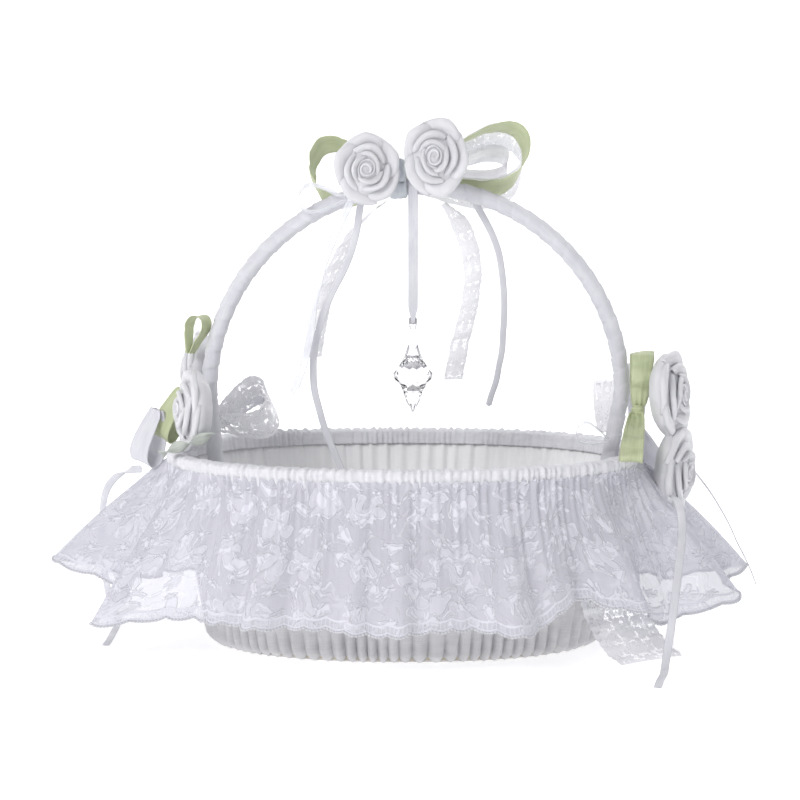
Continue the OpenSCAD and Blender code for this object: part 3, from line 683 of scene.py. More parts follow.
def rosePiece(name, at, axis, seed, spin, size=1.0, stretch=1.0):
    # A cup, a soft filling, three rings of petals that climb towards the middle, and a rolled bud
    r, d, draw = roseShape["radius"] * size, roseShape["depth"], np.random.default_rng(seed)
    put = framed(at, axis, spin)
    parts = [cupGrid(r, d), fillGrid(r, d)]
    for row in petalRows:
        for k in range(row["count"]):
            aside, higher = (draw.uniform(-0.1, 0.1), draw.uniform(-0.5, 0.5)) if row["uneven"] else (0, 0)
            turn = 2 * math.pi * (k + row["first"] + aside) / row["count"]
            parts.append(petalGrid(turn, row["spread"], row["foot"] * r, row["rim"] * r, row["low"] * d,
                                   row["high"] * d + higher, row["roll"] * r, row["point"] * r,
                                   row["tuck"], seed + row["seed"] + k))
    parts.append(budGrid(2, 0.6, 0.24 * r, 0.35 * d, 0.97 * d, seed % 6))
    for part in parts:
        part["p"] = put(part["p"])
        part["p"][..., 2] = at[2] + (part["p"][..., 2] - at[2]) * stretch
    place(name.replace("_", "-"), meshOf(name, parts, weld=True), roseSatin, "basket",
          [name], roseShape["thick"])


# The basket's body

def roundOval(n):
    turn = np.linspace(0, 2 * math.pi, n, endpoint=False)
    line = beside(0, 94.0, np.append(turn, 2 * math.pi))
    return turn, lengthAlong(line)


coverShape = dict(stations=1100, rows=34, puffs=88, puffDepth=4.3, foldDepth=1.5, foldPitch=7.5,
                  tuckDepth=3.4, thick=0.5, heights=[0, 3, 8, 16, 42, 94],
                  standsOut=[4.6, 5.3, 5.4, 4.6, 3.3, 2.3])


def outerCover():
    # Round the oval by rows up the wall: the layer's profile, less vertical folds and the dips between the
    # puffs at its foot
    c = coverShape
    turn, s = roundOval(c["stations"])
    total = s[-1]
    q = np.linspace(0, 1, c["rows"])
    z = np.where(q < 0.35, 22 * (q / 0.35) ** 1.6, 22 + 71 * (q - 0.35) / 0.65)
    tuck = np.clip(1 - z / 4.5, 0, 1)
    side = np.interp(z, c["heights"], c["standsOut"]) - c["tuckDepth"] * tuck ** 2.2
    beat = s[:-1] / total * c["puffs"] + 0.35 * waves(s[:-1], 60, total, 11)
    puff = np.abs(np.sin(math.pi * beat)) ** 0.7
    low = np.exp(-((z - 5) / 12) ** 2)
    folds = waves(s[:-1], c["foldPitch"], total, 12)[:, None] * (0.35 + 0.65 * np.exp(-z / 40))[None, :]
    out = (side[None, :] - c["puffDepth"] * (1 - puff)[:, None] * low[None, :]
           + 0.5 * c["foldDepth"] * (folds - 1))
    out = np.maximum(out, 0.35)
    up = z[None, :] + 3.0 * (1 - puff)[:, None] * np.exp(-z / 5)[None, :] + 0.12
    p = beside(out, up, turn[:, None])
    uv = np.stack(np.broadcast_arrays(s[:, None], z[None, :]), -1) * mm
    mesh = meshOf("outer_cover", [gridPart(p, uv, wrapU=True)])
    piece = place("outer-cover", mesh, coverSatin, "basket", ["outer_cover"], c["thick"])


liningShape = dict(stations=900, rows=20, low=4.6, high=93, depth=0.75, pitch=9, finePitch=4, thick=0.4)


def lining():
    # Vertical gathers: a sum of waves along the wall, deepest half way up
    c = liningShape
    turn, s = roundOval(c["stations"])
    z = np.linspace(c["low"], c["high"], c["rows"])
    gathers = (waves(s[:-1], c["pitch"], s[-1], 21)[:, None]
               + 0.4 * waves(s[:-1], c["finePitch"], s[-1], 22)[:, None])
    out = (basket["liningOut"] + basket["liningIn"]) / 2 + 0.1 + c["depth"] * np.clip(gathers, -1.1, 1.1)
    out = out * np.ones(len(z))[None, :] + 0.15 * np.sin(z / 9)[None, :]
    p = beside(out, z[None, :], turn[:, None])
    uv = np.stack(np.broadcast_arrays(s[:, None], z[None, :]), -1) * mm
    mesh = meshOf("lining", [gridPart(p, uv, wrapU=True, flip=True)])
    piece = place("inner-lining", mesh, liningSatinPaintedLight, "basket", ["lining"], c["thick"])


padShape = dict(stations=160, rows=26, crown=1.5, crease=0.35, roundEdge=1.6)


def floorPad():
    # An oval cushion: flat below, crowned above, its edge rounded in, with shallow creases from its middle
    c = padShape
    turn, s = roundOval(c["stations"])
    b = np.linspace(0.004, 1, c["rows"])[:, None]
    a, d = (h + basket["liningIn"] - 0.7 for h in halfSizes(basket["padLow"]))
    oval = np.stack([a * power(np.cos(turn)), d * power(np.sin(turn))], -1)
    crease = c["crease"] * waves(s[:-1], 26, s[-1], 31)[None, :] * np.sin(math.pi * b)
    rounded = c["roundEdge"] * np.clip((b - 0.93) / 0.07, 0, 1) ** 2
    top = basket["padHigh"] - 1.4 + c["crown"] * (1 - b ** 4) + crease - rounded
    under = np.full_like(top, basket["padLow"] + 0.2)
    upper = np.concatenate([b[..., None] * oval[None], top[..., None]], -1)
    lower = np.concatenate([(b * 0.985)[..., None] * oval[None], under[..., None]], -1)[::-1]
    side = lower[:1] * [1 / 0.985, 1 / 0.985, 1] + [0, 0, 1.6]
    p = np.concatenate([upper, side, lower])
    uv = np.concatenate([p[..., :2], p[:, :1, :2]], 1) * mm
    mesh = meshOf("floor_pad", [gridPart(p, uv, wrapV=True)], weld=True)
    # the pad takes the lining's satin, painted lighter to lift the shade inside the basket
    piece = place("floor-pad", mesh, liningSatinPaintedLight, "basket", ["floor_pad"])


bindingShape = dict(stations=1500, pleat=0.55, pleatPitch=3.6, widePitch=9, frill=0.7, frillPitch=4.6,
                    thick=0.4)


def rimBinding():
    # The binding's section carried round the oval, with fine pleats across it and a small frill along its top
    c = bindingShape
    turn, s = roundOval(c["stations"])
    section = throughPoints([(3.9, 88.1, 0), (4.0, 91, 0), (3.9, 94.5, 0), (3.3, 96.9, 0), (1.4, 97.5, 0),
                             (-1.6, 97.5, 0), (-4.1, 96.8, 0), (-4.85, 94, 0), (-4.9, 90.2, 0)], 30)
    q = lengthAlong(section)
    step = unit(np.gradient(section[:, :2], axis=0))
    outward = np.stack([step[:, 1], -step[:, 0]], -1)
    pleats = (waves(s[:-1], c["pleatPitch"], s[-1], 41)[:, None]
              + 0.5 * waves(s[:-1], c["widePitch"], s[-1], 42)[:, None])
    crest = np.exp(-((q - q[13]) / 3.2) ** 2)
    frill = c["frill"] * np.abs(np.sin(math.pi * s[:-1] / c["frillPitch"]))[:, None] * crest[None, :]
    lift = c["pleat"] * pleats + frill - 0.25
    out = section[None, :, 0] + lift * outward[None, :, 0]
    z = section[None, :, 1] + lift * outward[None, :, 1]
    p = beside(out, z, turn[:, None])
    uv = np.stack(np.broadcast_arrays(s[:, None], q[None, :]), -1) * mm
    mesh = meshOf("rim_binding", [gridPart(p, uv, wrapU=True)])
    place("rim-binding", mesh, bindingSatin, "basket", ["rim_binding"], c["thick"])


flutes = np.array([  # angle round the oval, spread, further out, further down
    (1, 10, 40, -14), (-12, 9, 35, -1), (-27, 7, 8, 6), (-40, 6, 13, -4), (-53, 8, -3, -12), (-68, 6, 5, 3),
    (-80, 6, -3, 0), (-93, 6, 3, 2), (-107, 6, -3, 0), (-120, 6, 4, 0), (-134, 6, -2, 0), (-155, 8, 30, 5),
    (-170, 6, 5, -5), (-181, 10, 43, -17), (-196, 8, 14, 0), (-210, 7, 9, 0), (-225, 6, -3, 0),
    (-238, 6, 4, 0), (-251, 6, -3, 0), (-264, 6, 4, 0), (-277, 6, -3, 0), (-290, 6, 4, 0), (-303, 6, -3, 0),
    (-317, 7, 8, 0),
    (-336, 8, 12, 0)], float)
flounceShape = dict(stations=1440, rows=46, fall=65.0, flare=19.0, gather=0.9, scallop=1.5, scallopPitch=11.0,
                    finePitch=4.2, widePitch=12, broadPitch=24, headOut=1.7, headUp=4.5, cordRadius=0.62)


def hemAt(turn):
    # How far the hem stands out and falls at a turn: each flute counts as a bell curve round its own angle
    away = np.degrees(turn)[:, None] - flutes[None, :, 0]
    felt = np.exp(-((away - 360 * np.round(away / 360)) / flutes[None, :, 1]) ** 2)
    out = felt * flutes[None, :, 2]
    return (flounceShape["flare"] + np.maximum(out.max(1), 0) + np.minimum(out.min(1), 0),
            flounceShape["fall"] + (felt * flutes[None, :, 3]).sum(1))


def laceFlounce():
    # From the rim's foot outwards and down: out grows as a power of the fall, less than 1 where a flute
    # arches. Gathers start fine at the heading and join into wider ones at the hem, which is cut in scallops
    c = flounceShape
    turn, s = roundOval(c["stations"])
    total = s[-1]
    out, drop = hemAt(turn)
    arch = 1.15 - 0.43 * np.clip((out - c["flare"]) / 43, 0, 1)
    f = np.linspace(0, 1, c["rows"])[None, :] ** 0.9
    fine, wide, broad = (waves(s[:-1], c[pitch], total, seed)[:, None]
                         for pitch, seed in (("finePitch", 51), ("widePitch", 52), ("broadPitch", 53)))
    gather = c["gather"] * (0.7 * fine * (1 - f) ** 1.2 + 1.3 * wide * f ** 0.6 * (1 - 0.3 * f)
                            + 2.9 * broad * f ** 0.7)
    head = (1 - f) ** 9 * (1 + 0.25 * fine)  # the heading lies up over the binding
    reach = (basket["coverTop"] + 0.9 + out[:, None] * f ** arch[:, None]
             + np.maximum(gather, -0.8 - 14 * f) + c["headOut"] * head)
    beat = math.pi * s[:-1] / total * round(total * 1.25 / c["scallopPitch"])
    scallop = c["scallop"] * (np.abs(np.sin(beat)) - 0.6)
    z = basket["flounceTop"] - drop[:, None] * f - scallop[:, None] * f ** 10 + c["headUp"] * head
    a, b = halfSizes(basket["flounceTop"])
    p = np.stack([(a + reach) * power(np.cos(turn))[:, None],
                  (b + reach) * power(np.sin(turn))[:, None], z], -1)
    down = lengthAlong(p, 1)
    hemLine = np.concatenate([p[:, -1], p[:1, -1]])
    along = lengthAlong(hemLine)
    mid = 0.45 * s + 0.55 * along
    ring = np.concatenate([down, down[:1]])
    uv = np.stack(np.broadcast_arrays(mid[:, None], ring[:, -1:] - ring), -1) * mm
    mesh = meshOf("lace_flounce", [gridPart(p, uv, wrapU=True, flip=True)])
    piece = place("lace-flounce", mesh, flounceLace, "basket", ["lace_flounce"])
    # The corded edge: a small round section with a bead every couple of millimetres
    line = throughPoints(hemLine, 3600)[:-1]
    beads = c["cordRadius"] * (1 + 0.28 * np.sin(2 * math.pi * np.arange(len(line)) / 6))
    tangent = unit(np.roll(line, -1, 0) - np.roll(line, 1, 0))
    side = unit(np.cross(tangent, (0, 0, 1.0)))
    top = np.cross(side, tangent)
    k = 2 * math.pi * np.arange(6) / 6
    q = line[:, None] + beads[:, None, None] * (side[:, None] * np.cos(k)[None, :, None]
                                                + top[:, None] * np.sin(k)[None, :, None])
    place("flounce-cord", meshOf("flounce_cord", [gridPart(q, wrapU=True, wrapV=True)]), whiteSatin,
          "basket", ["lace_flounce"])


outerCover()
lining()
floorPad()
rimBinding()
laceFlounce()
print("basket dressed")

# The handle

handleShape = dict(stations=1100, sides=28, pitch=8.5, step=0.55, radius=4.35)


def footReach():
    # The legs stand inside the lining, a wrapping's radius and a hair away from it
    return halfSizes(hoop["footHeight"])[0] + basket["liningIn"] - hoop["wrap"] * 1.03 - 0.45


def handleLine(n):
    # Up the left leg, over the half circle, down the right leg
    c = hoop
    foot = footReach()
    angle = np.linspace(0, math.pi, 120)
    arc = np.stack([c["shift"] - c["radius"] * np.cos(angle), 0 * angle,
                    c["height"] + c["radius"] * np.sin(angle)], -1)
    ends = [np.array([side * foot, 0, c["footHeight"]]) for side in (-1, 1)]
    legs = [np.linspace(ends[0], arc[0], 30)[:-1], arc, np.linspace(arc[-1], ends[1], 30)[1:]]
    return throughPoints(np.concatenate(legs), n)


def handleWrapping():
    # A tube whose radius falls by one step along each turn of the wound ribbon, with small pulls across it
    c = handleShape
    line = handleLine(c["stations"])
    s = lengthAlong(line)
    along = unit(np.gradient(line, axis=0))
    side = np.broadcast_to(np.array([0, 1.0, 0]), line.shape)
    up = np.cross(along, side)
    k = 2 * math.pi * np.arange(c["sides"]) / c["sides"]
    phase = s[:, None] / c["pitch"] + k[None, :] / (2 * math.pi)
    turn = phase % 1
    r = c["radius"] - c["step"] * (turn ** 1.5) + c["step"] * np.clip((turn - 0.93) / 0.07, 0, 1) ** 2
    r = r + 0.07 * np.sin(2 * math.pi * s / 3.1)[:, None] * np.cos(2 * k + s[:, None] / 9)
    r[[0, -1]] = 0.05
    p = line[:, None] + r[..., None] * (up[:, None] * np.cos(k)[None, :, None]
                                        + side[:, None] * np.sin(k)[None, :, None])
    kk = np.append(k, 2 * math.pi)
    uv = np.stack(np.broadcast_arrays(s[:, None] + kk[None, :] * 1.4, kk[None, :] * c["radius"]), -1) * mm
    place("handle-wrapping", meshOf("handle_wrapping", [gridPart(p, uv, wrapV=True)]), whiteSatin, "basket",
          ["handle_wrapping"])


tabShape = dict(low=18.3, height=8.6, halfWidth=7.0, thick=0.5)


def legTabs():
    # A band from the lining round the leg and back: an arch in plan, carried up the wall, pleated at its ends
    c = tabShape
    parts = []
    for side in (-1, 1):
        f, v = np.linspace(-1, 1, 41), np.linspace(0, 1, 9)
        z = c["low"] + c["height"] * v
        wall = halfSizes(z)[0] + basket["liningIn"] - 0.5
        top, foot = hoop["shift"] + side * hoop["radius"], side * footReach()
        middle = foot + (top - foot) * (z - hoop["footHeight"]) / (hoop["height"] - hoop["footHeight"])
        inner = side * (middle - side * (hoop["wrap"] + 0.95))
        bow = 1 - np.abs(f) ** 2.6
        x = side * (wall[None, :] + (inner - wall)[None, :] * bow[:, None])
        y = c["halfWidth"] * np.sign(f) * np.abs(f) ** 0.8
        pleat = 0.25 * np.sin(24 * f)[:, None] * (np.abs(f) ** 2)[:, None]
        p = np.stack([x + pleat, y[:, None] * (1 + 0.04 * np.cos(6 * v))[None, :],
                      np.broadcast_to(z, x.shape)], -1)
        parts.append(gridPart(p, None))
    place("leg-tabs", meshOf("leg_tabs", parts), whiteSatin, "basket",
          ["leg_tabs"], c["thick"])


tieShape = dict(left=9.0, halfWidth=4.2, inside=4.75, rise=0.75, knotHeight=11.6, knotRadius=3.15, thick=0.3)


def topTie():
    # Three overlapping bands round the handle, and the pleated knot that stands between the roses
    c = tieShape
    x = hoopTop[0] - c["left"]
    at = np.array([x, 0, hoop["height"] + math.sqrt(hoop["radius"] ** 2 - c["left"] ** 2)])
    axis = unit(np.array([at[2] - hoop["height"], 0, hoop["shift"] - x]))
    u, v = np.linspace(0, 2 * math.pi, 48, endpoint=False), np.linspace(-1, 1, 25)
    side, up = np.array([0, 1.0, 0]), np.cross(axis, (0, 1.0, 0))
    r = (c["inside"] + c["rise"] * np.sqrt(np.clip(1 - v ** 6, 0, 1))
         + 0.28 * np.abs(np.sin(1.5 * math.pi * v + 0.6)))
    p = (at + axis * (c["halfWidth"] * v)[None, :, None]
         + r[None, :, None] * (up * np.cos(u)[:, None, None] + side * np.sin(u)[:, None, None]))
    h, k = np.linspace(0, 1, 22), np.linspace(0, 2 * math.pi, 44, endpoint=False)
    wide = c["knotRadius"] - 0.6 * h + 0.25 * np.sin(7 * h)
    wide = wide * np.sqrt(np.clip(1 - np.clip((h - 0.85) / 0.15, 0, 0.99) ** 2, 0, 1))
    fold = 1 + 0.09 * np.sin(5 * k)[None, :] * (0.4 + h)[:, None]
    q = np.stack([at[0] + 0.5 + wide[:, None] * fold * np.cos(k) * 1.05,
                  -3.6 + wide[:, None] * fold * np.sin(k),
                  np.broadcast_to((at[2] + 3.2 + c["knotHeight"] * h)[:, None], (22, 44))], -1)
    parts = [gridPart(p, None, wrapU=True), gridPart(q, None, wrapV=True, flip=True)]
    place("top-tie", meshOf("top_tie", parts), paleBlueSatin, "basket",
          ["top_tie"], c["thick"])


handleWrapping()
legTabs()
topTie()
print("handle wound")

# Roses

rosePiece("top_rose_left", hoopTop + [-24.5, -4.65, 8.5], (0, -1, 0.06), 101, 0.3, stretch=1.12)
rosePiece("top_rose_right", hoopTop + [11, -5.65, 14], (-0.12, -1, 0.1), 202, 1.2, stretch=1.22)
rosePiece("left_rose_front", leftLeg + [0.5, -17, -7], (-1, -0.3, 0.05), 303, 0.7, size=1.16, stretch=1.12)
rosePiece("left_rose_back", leftLeg + [1, 17, 8], (-1, 0.1, 0.12), 404, 2.0, size=1.16, stretch=1.12)
rosePiece("right_rose_upper", rightEnd + [7, -7, 27], (0.92, -0.4, 0.12), 505, 0.1, size=1.2, stretch=1.14)
rosePiece("right_rose_lower", rightEnd + [10, -7, -9], (0.92, -0.4, -0.06), 606, 0.9, size=1.2, stretch=1.12)
print("roses made")

# Bows and wide tails

bows = dict(sage=14.0, satin=11.0, lace=20.0, narrow=4.0, thick=0.35, backTop=10.85)


def flatOf(width, length):
    return (max(width, 10.0) * mm, length * mm)


def bowPiece(name, material, loops, knot=None, thick=None):
    # Each loop is a piece of its own, and the knot is another
    plain = name.replace("_", "-")
    thick = bows["thick"] if thick is None else thick
    for k, loop in enumerate(loops):
        part = loopGrid(**loop)
        reach = lengthAlong(part["p"][:, part["p"].shape[1] // 2])[-1]
        label = plain if len(loops) == 1 else f"{plain}-loop{k + 1}"
        piece = place(label, meshOf(label, [part]), material, "basket", [name], thick)
    if knot:
        place(plain + "-knot", meshOf(plain + "-knot", [knotGrid(**knot)]), material, "basket", [name],
              thick)


sageRoot = hoopTop + [-7, bows["backTop"], 3.5]
bowPiece("top_sage_bow", sageSatin, [
    dict(root=sageRoot, out=(-1, 0, 0.1), open_=(0, 0, 1), length=46, height=33, across=(-0.2, -0.72, 0.62),
         width=bows["sage"], seed=61),
    dict(root=sageRoot, out=(1, 0, 0.22), open_=(0, 0, 1), length=65, height=36, across=(0.2, -0.97, 0.15),
         turn=(0.25, -0.45, 0.85), width=bows["sage"] * 1.05, seed=62)])
laceRoot = hoopTop + [-4, bows["backTop"] + 16, 2.5]
bowPiece("top_lace_bow", ribbonLace, [
    dict(root=laceRoot, out=(1, 0, 0.18), open_=(0, 0, 1), length=61, height=34, across=(0.1, -0.8, 0.6),
         turn=(0.1, -0.45, 0.9), width=bows["lace"], scallop=0.5, seed=63)], thick=0)
bowPiece("top_organza_loop", greyOrganza, [
    dict(root=hoopTop + [10, bows["backTop"] + 16, 7], out=(1, 0, 0.1), open_=(0, 0, 1), length=38, height=14,
         across=(0.1, -0.5, 0.86), width=bows["satin"], seed=64)], thick=0)
bowPiece("top_narrow_bow", sheerRibbon, [
    dict(root=hoopTop + [-35, -9.75, -6], out=(-1, 0, 0.02), open_=(0, 0, 1), length=24, height=15,
         across=(0.1, -0.8, 0.5), width=bows["narrow"], pinch=0.7, gather=0.1, cup=0.2, ripple=0.1, seed=65)])
bowPiece("left_sage_bow", sageSatin, [
    dict(root=leftLeg + [-9.5, -3, 21], out=(0.3, 0, 1), open_=(1, 0.2, -0.3), length=20, height=9,
         across=(0.5, 0.85, 0), width=9, gather=0.3, seed=66),
    dict(root=leftLeg + [-13.5, 1, 2], out=(-0.45, 0, -1), open_=(0.45, 0.9, -0.2), length=28, height=12,
         across=(0.85, -0.45, -0.38), width=12, gather=0.5, cup=0.3, seed=67)])
bowPiece("left_satin_bow", whiteSatin, [
    dict(root=leftLeg + [-26.5, -2, -8], out=(-0.25, 0, -1), open_=(0.75, 0.6, -0.2), length=29, height=11,
         across=(0.75, -0.6, -0.24), width=bows["satin"] * 1.2, gather=0.8, seed=68)])
bowPiece("left_lace_bow", ribbonLace, [
    dict(root=leftLeg + [2, 24, -18], out=(1, 0.2, 0.35), open_=(-0.2, 0.6, 0.75), length=31, height=24,
         across=(-0.3, -0.55, 0.8), width=bows["lace"], gather=0.5, ripple=0.35, scallop=0.7, seed=69)],
         thick=0)
bowPiece("left_organza_loop", greyOrganza, [
    dict(root=leftLeg + [2, 40, -15], out=(1, 0, 0.1), open_=(0, 0.5, 0.85), length=24, height=16,
         across=(0, -0.6, 0.8), width=bows["satin"], seed=70)], thick=0)
sageRight = rightEnd + [-1.5, -8, 20.5]
bowPiece("right_sage_bow", sageSatin, [
    dict(root=sageRight + [0, 0, 1.5], out=(0.05, 0, 1), open_=(0, 1, 0), length=28, height=9,
         across=(1, 0.1, 0.1), width=12, gather=1.0, cup=0.9, ripple=0.7, seed=71),
    dict(root=sageRight - [1.7, 5, 1.5], out=(-0.16, -0.92, -0.6), open_=(0, 0.6, -0.92), length=37,
         height=10, across=(1, 0.05, 0), width=12, gather=1.0, cup=0.9, ripple=0.7, seed=72)],
         knot=dict(at=sageRight + [-0.8, -2.5, 0], axis=(0, 0.25, 1), width=5.5, radius=3.1, seed=73))
satinRight = rightEnd + [-1, 16, 8]
bowPiece("right_satin_bow", whiteSatin, [
    dict(root=satinRight, out=(0.05, 0.2, 1), open_=(0.1, 1, -0.2), length=34, height=12, across=(1, 0, 0),
         width=bows["satin"], seed=73),
    dict(root=satinRight, out=(0.55, 0.35, -1), open_=(0, 1, 0.35), length=30, height=12, across=(1, 0, 0.5),
         width=bows["satin"], seed=74)])
bowPiece("right_lace_bow", ribbonLace, [
    dict(root=rightEnd + [-16, 18, 6], out=(0.1, 0.4, 1), open_=(0.2, 1, -0.4), length=27, height=22,
         across=(1, -0.4, 0), width=bows["lace"] * 0.8, scallop=0.5, seed=75)], thick=0)
bowPiece("right_narrow_bow", sheerRibbon, [
    dict(root=rightEnd + [-17, -10, 5], out=(-1, 0, 0.35), open_=(0.35, 0, 1), length=17, height=11,
         across=(0, 1, 0.2), width=bows["narrow"], pinch=0.7, gather=0.1, cup=0.2, ripple=0.1, seed=76)])


def wideTail(name, route, ends, width, material, seed, cup=0.6, ripple=0.5, scallop=0.5,
             gathered=True):
    # A strip along a smooth route, its width turning evenly from one direction to the other
    line = throughPoints(route, 90)
    f = np.linspace(0, 1, len(line))[:, None]
    across = unit(np.array(ends[0], float) * (1 - f) + np.array(ends[1], float) * f)
    full = ease(lengthAlong(line) / 16) if gathered else 1.0
    part = ribbonGrid(line, across, width * (0.3 + 0.7 * full), 15, cup, ripple, None, scallop, seed)
    part["p"][..., 2] = np.maximum(part["p"][..., 2], 0.4)
    piece = place(name.replace("_", "-"), meshOf(name, [part]), material, "basket", [name])
    flatOf(width, lengthAlong(line)[-1])


wideTail("top_lace_tail_left", hoopTop + np.array([
    (-16, 9, -8), (-24, 10.5, -14.5), (-31, 12, -22), (-36.5, 12, -31), (-41, 12, -40), (-44.5, 12, -49.5),
    (-47.5, 12, -59), (-49.5, 12, -68.5), (-51.5, 12, -78), (-53, 12, -88)]),
    ((0.7, 0.5, 0.6), (0.9, 0.5, 0)), 10.0, ribbonLace, 81)
wideTail("top_lace_tail_right", hoopTop + np.array([
    (14, 9.5, -9), (20.5, 11.5, -16), (25.5, 13.5, -25.5), (28.5, 14.5, -36), (29.5, 15.5, -46.5),
    (28.5, 16, -57), (26.5, 16, -68), (23.5, 16, -79), (21.5, 16, -89), (19.5, 16, -100)]),
    ((0.9, 0.5, 0.5), (1, 0.4, 0)), 10.0, ribbonLace, 82)
tailTop = beside(8.4, 58.0, np.radians(-32.0))
wideTail("right_lace_tail", tailTop + np.array([
    (0, 0, 0), (0, -1, -12), (1, -2, -24), (4, -5, -35), (9, -10, -45), (15, -14.5, -52.5), (21, -19, -57)]),
    ((0.79, 0.61, 0), (0.79, 0.61, 0)), 40.0, ribbonLace, 83, cup=0.2, ripple=0.4, scallop=0.7,
         gathered=False)


def twistedRibbon():
    # Two half turns of a strip round its own route
    t = leftLeg
    line = throughPoints(t + np.array([(-22, -36, -26.5), (-17, -37, -24), (-11, -38, -22), (-5, -38, -20),
                                       (1, -37, -18), (5, -35, -16)]), 90)
    along = unit(np.gradient(line, axis=0))
    first = unit(np.cross(along, (0, 1.0, 0)))
    second = np.cross(along, first)
    a = np.linspace(0.6, 0.6 + 2.4 * math.pi, 90)[:, None]
    across = first * np.cos(a) + second * np.sin(a)
    part = ribbonGrid(line, across, 6.0, 9, 0.2, 0.1, None, 0, 84)
    place("left-twisted-ribbon", meshOf("left_twisted_ribbon", [part]), greyGreenSatin, "basket",
          ["left_twisted_ribbon"], 0.35)


twistedRibbon()
print("bows tied")

# The pendant and its crystal

pendant = dict(x=4.6, width=4.8, eye=162.49, ring=4.85, near=2.7, thread=0.75, threadHalf=2.75,
               crystalTop=2.5, thick=0.35)
crystalRings = [  # below the top, radius, half steps turned
    (0, 0.3, 0), (0, 1.75, 0), (1.0, 2.15, 0), (4.6, 2.1, 0), (5.6, 1.55, 0), (14.5, 2.7, 1), (20.5, 4.6, 0),
    (26.2, 8.4, 1), (28.8, 10.1, 0), (30.8, 10.15, 1), (33.4, 8.6, 0), (37.2, 5.6, 1), (39.6, 4.7, 0),
    (43.4, 3.4, 1), (49, 0.08, 0)]


def pendantRibbon():
    # One strip: from the eye up in front, round the handle's top, and down behind
    c = pendant
    top = hoop["height"] + math.sqrt(hoop["radius"] ** 2 - (c["x"] - hoop["shift"]) ** 2)
    a = np.linspace(0, math.pi, 13)
    over = np.stack([np.full(13, c["x"]), -c["ring"] * np.cos(a), top + c["ring"] * np.sin(a)], -1)
    down = np.linspace(0, 1, 12)[:, None]
    front = np.array([c["x"], -c["near"], c["eye"]]) * (1 - down) + over[0] * down
    back = over[-1] * (1 - down) + np.array([c["x"], c["near"], c["eye"]]) * down
    line = throughPoints(np.concatenate([front[:-1], over, back[1:]]), 220)
    f = np.linspace(0, 1, 220)
    ends = np.minimum(f, 1 - f)
    width = c["width"] * (0.42 + 0.58 * ease((ends - 0.005) / 0.05))
    part = ribbonGrid(line, np.array([1.0, 0, 0]), width, 9, 0.25, 0.08, None, 0, 91)
    # The small thread through the crystal's eye
    k, w = np.linspace(0, 2 * math.pi, 16, endpoint=False), np.linspace(-1, 1, 9)
    thread = np.stack([c["x"] + c["thread"] * np.cos(k)[None, :] + 0 * w[:, None],
                       c["threadHalf"] * w[:, None] + 0 * k[None, :],
                       c["eye"] + c["thread"] * np.sin(k)[None, :] + 0 * w[:, None]], -1)
    parts = [part, gridPart(thread, None, wrapV=True)]
    place("pendant-ribbon", meshOf("pendant_ribbon", parts), whiteSatin, "pendant",
          ["pendant_ribbon"], c["thick"])


def crystalDrop():
    # Rings of ten points, every other ring turned by half a step, joined by flat facets
    sides, rings = 10, np.array(crystalRings, float)
    k = 2 * math.pi * (np.arange(sides)[None, :] + 0.5 * rings[:, 2:3]) / sides
    p = np.stack([pendant["x"] + rings[:, 1:2] * np.cos(k), rings[:, 1:2] * np.sin(k),
                  np.broadcast_to(pendant["eye"] + pendant["crystalTop"] - rings[:, 0:1], k.shape)], -1)
    i = np.arange(len(rings) - 1)[:, None]
    j = np.arange(sides)[None, :]
    after = (j + 1) % sides
    a, b, c, d = i * sides + j, i * sides + after, (i + 1) * sides + j, (i + 1) * sides + after
    turned = np.broadcast_to(rings[:-1, 2:3] > 0, a.shape)
    even = np.stack([np.stack([a, c, b], -1), np.stack([b, c, d], -1)], 2)
    odd = np.stack([np.stack([a, c, d], -1), np.stack([a, d, b], -1)], 2)
    faces = np.where(turned[..., None, None], odd, even).reshape(-1, 3)
    count = len(rings) * sides
    caps = [list(range(sides)), list(range(count - 1, count - 1 - sides, -1))]
    mesh = bpy.data.meshes.new("crystal_drop")
    mesh.from_pydata((p.reshape(-1, 3) * mm).tolist(), [], faces.tolist() + caps)
    work = bmesh.new()
    work.from_mesh(mesh)
    bmesh.ops.recalc_face_normals(work, faces=work.faces)
    work.to_mesh(mesh)
    work.free()
    mesh.update()
    place("crystal-drop", mesh, crystalGlass, "crystal", ["crystal_drop"])


pendantRibbon()
crystalDrop()
print("crystal hung")

# What stays from the solid model takes its own finish

kept = dict(base_cover=grained("feltBase", (0.90, 0.89, 0.88), (0.80, 0.79, 0.78), 0.9, 1.6),
            base_board=grained("greyBoard", (0.76, 0.68, 0.54), (0.64, 0.56, 0.43), 0.85, 0.7),
            rim_wire=grained("drawnWire", (0.70, 0.70, 0.72), (0.58, 0.58, 0.60), 0.35, 1.2, 1.0, 0.0001),
            handle_rod=grained("caneRod", (0.76, 0.62, 0.42), (0.62, 0.48, 0.30), 0.6, 0.8))
kept["wall_board"] = kept["base_board"]
for nodeName, material in kept.items():
    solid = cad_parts[nodeName]
    solid.data.materials.clear()
    solid.data.materials.append(material)

# Floor, backdrop and soft light

studio = dict(floorGlow=0.5, worldStrength=0.49, keyPower=19.5, rimPower=7.0)


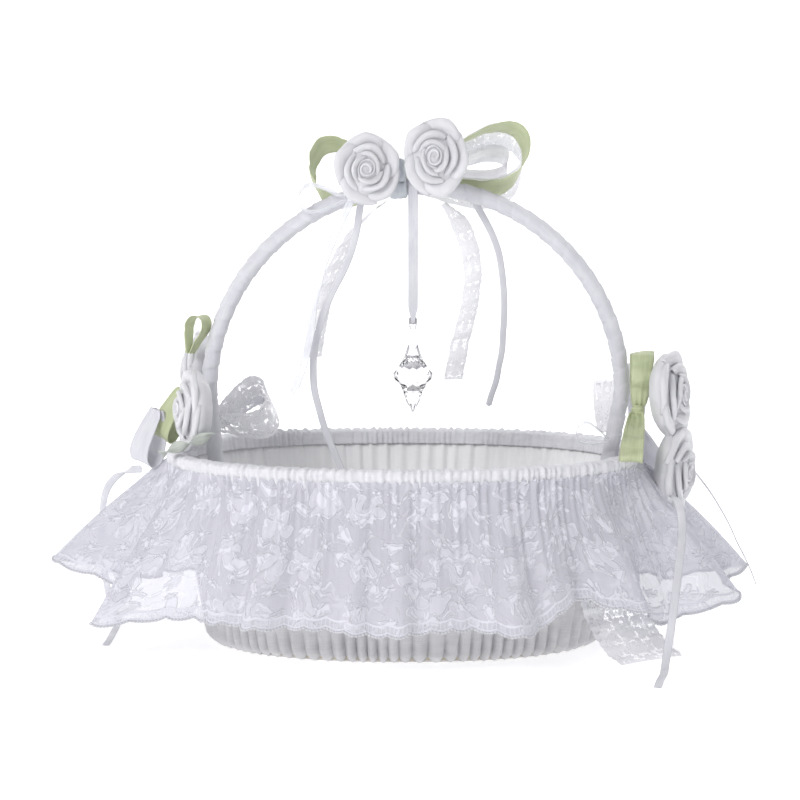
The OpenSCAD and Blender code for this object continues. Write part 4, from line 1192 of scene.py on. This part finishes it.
def backdrop():
    # A floor that curves up into a wall behind: a quarter circle between two flats
    a = np.linspace(0, math.pi / 2, 24)
    y = np.concatenate([[-3000], 1500 + 900 * np.sin(a), [2400]])
    z = np.concatenate([[0], 900 - 900 * np.cos(a), [4200]])
    x = np.linspace(-3500, 3500, 3)
    p = np.stack([np.broadcast_to(x[:, None], (3, len(y))), np.broadcast_to(y, (3, len(y))),
                  np.broadcast_to(z - 0.25, (3, len(y)))], -1)
    mesh = meshOf("floor", [gridPart(p)])
    floor = bpy.data.objects.new("floor", mesh)
    scene.collection.objects.link(floor)
    material, tree, shader = newMaterial("paleFloor", 0.8)
    grid = tree.nodes.new("ShaderNodeTexCoord").outputs["Object"]
    mottle = noiseAt(tree, grid, 6.0)
    colour = mixColour(tree, mottle, (0.96, 0.96, 0.965, 1), (0.98, 0.98, 0.98, 1))
    tree.links.new(colour, shader.inputs["Base Color"])
    tree.links.new(colour, shader.inputs["Emission Color"])
    shader.inputs["Emission Strength"].default_value = studio["floorGlow"]
    mesh.materials.append(material)


def softLight(name, at, aim, size, power, colour):
    lamp = bpy.data.lights.new(name, "AREA")
    lamp.shape, lamp.size, lamp.energy, lamp.color = "DISK", size, power, colour
    holder = bpy.data.objects.new(name, lamp)
    holder.location = at
    away = np.array(aim) - np.array(at)
    holder.rotation_euler = (math.atan2(math.hypot(away[0], away[1]), -away[2]), 0,
                             math.atan2(-away[0], away[1]))
    scene.collection.objects.link(holder)


backdrop()
softLight("key", (-1.05, -1.35, 1.15), (0, 0, 0.1), 0.9, studio["keyPower"], (1.0, 0.99, 1.0))
softLight("rim", (0.9, 0.8, 1.2), (0, 0, 0.15), 0.6, studio["rimPower"], (0.97, 0.98, 1.0))
world = bpy.data.worlds.new("softSky")
world.use_nodes = True
worldTree = world.node_tree
sky = worldTree.nodes["Background"]
sky.inputs["Strength"].default_value = studio["worldStrength"]
sky.inputs["Color"].default_value = (0.975, 0.98, 1.0, 1)
scene.world = world
print("stage lit")
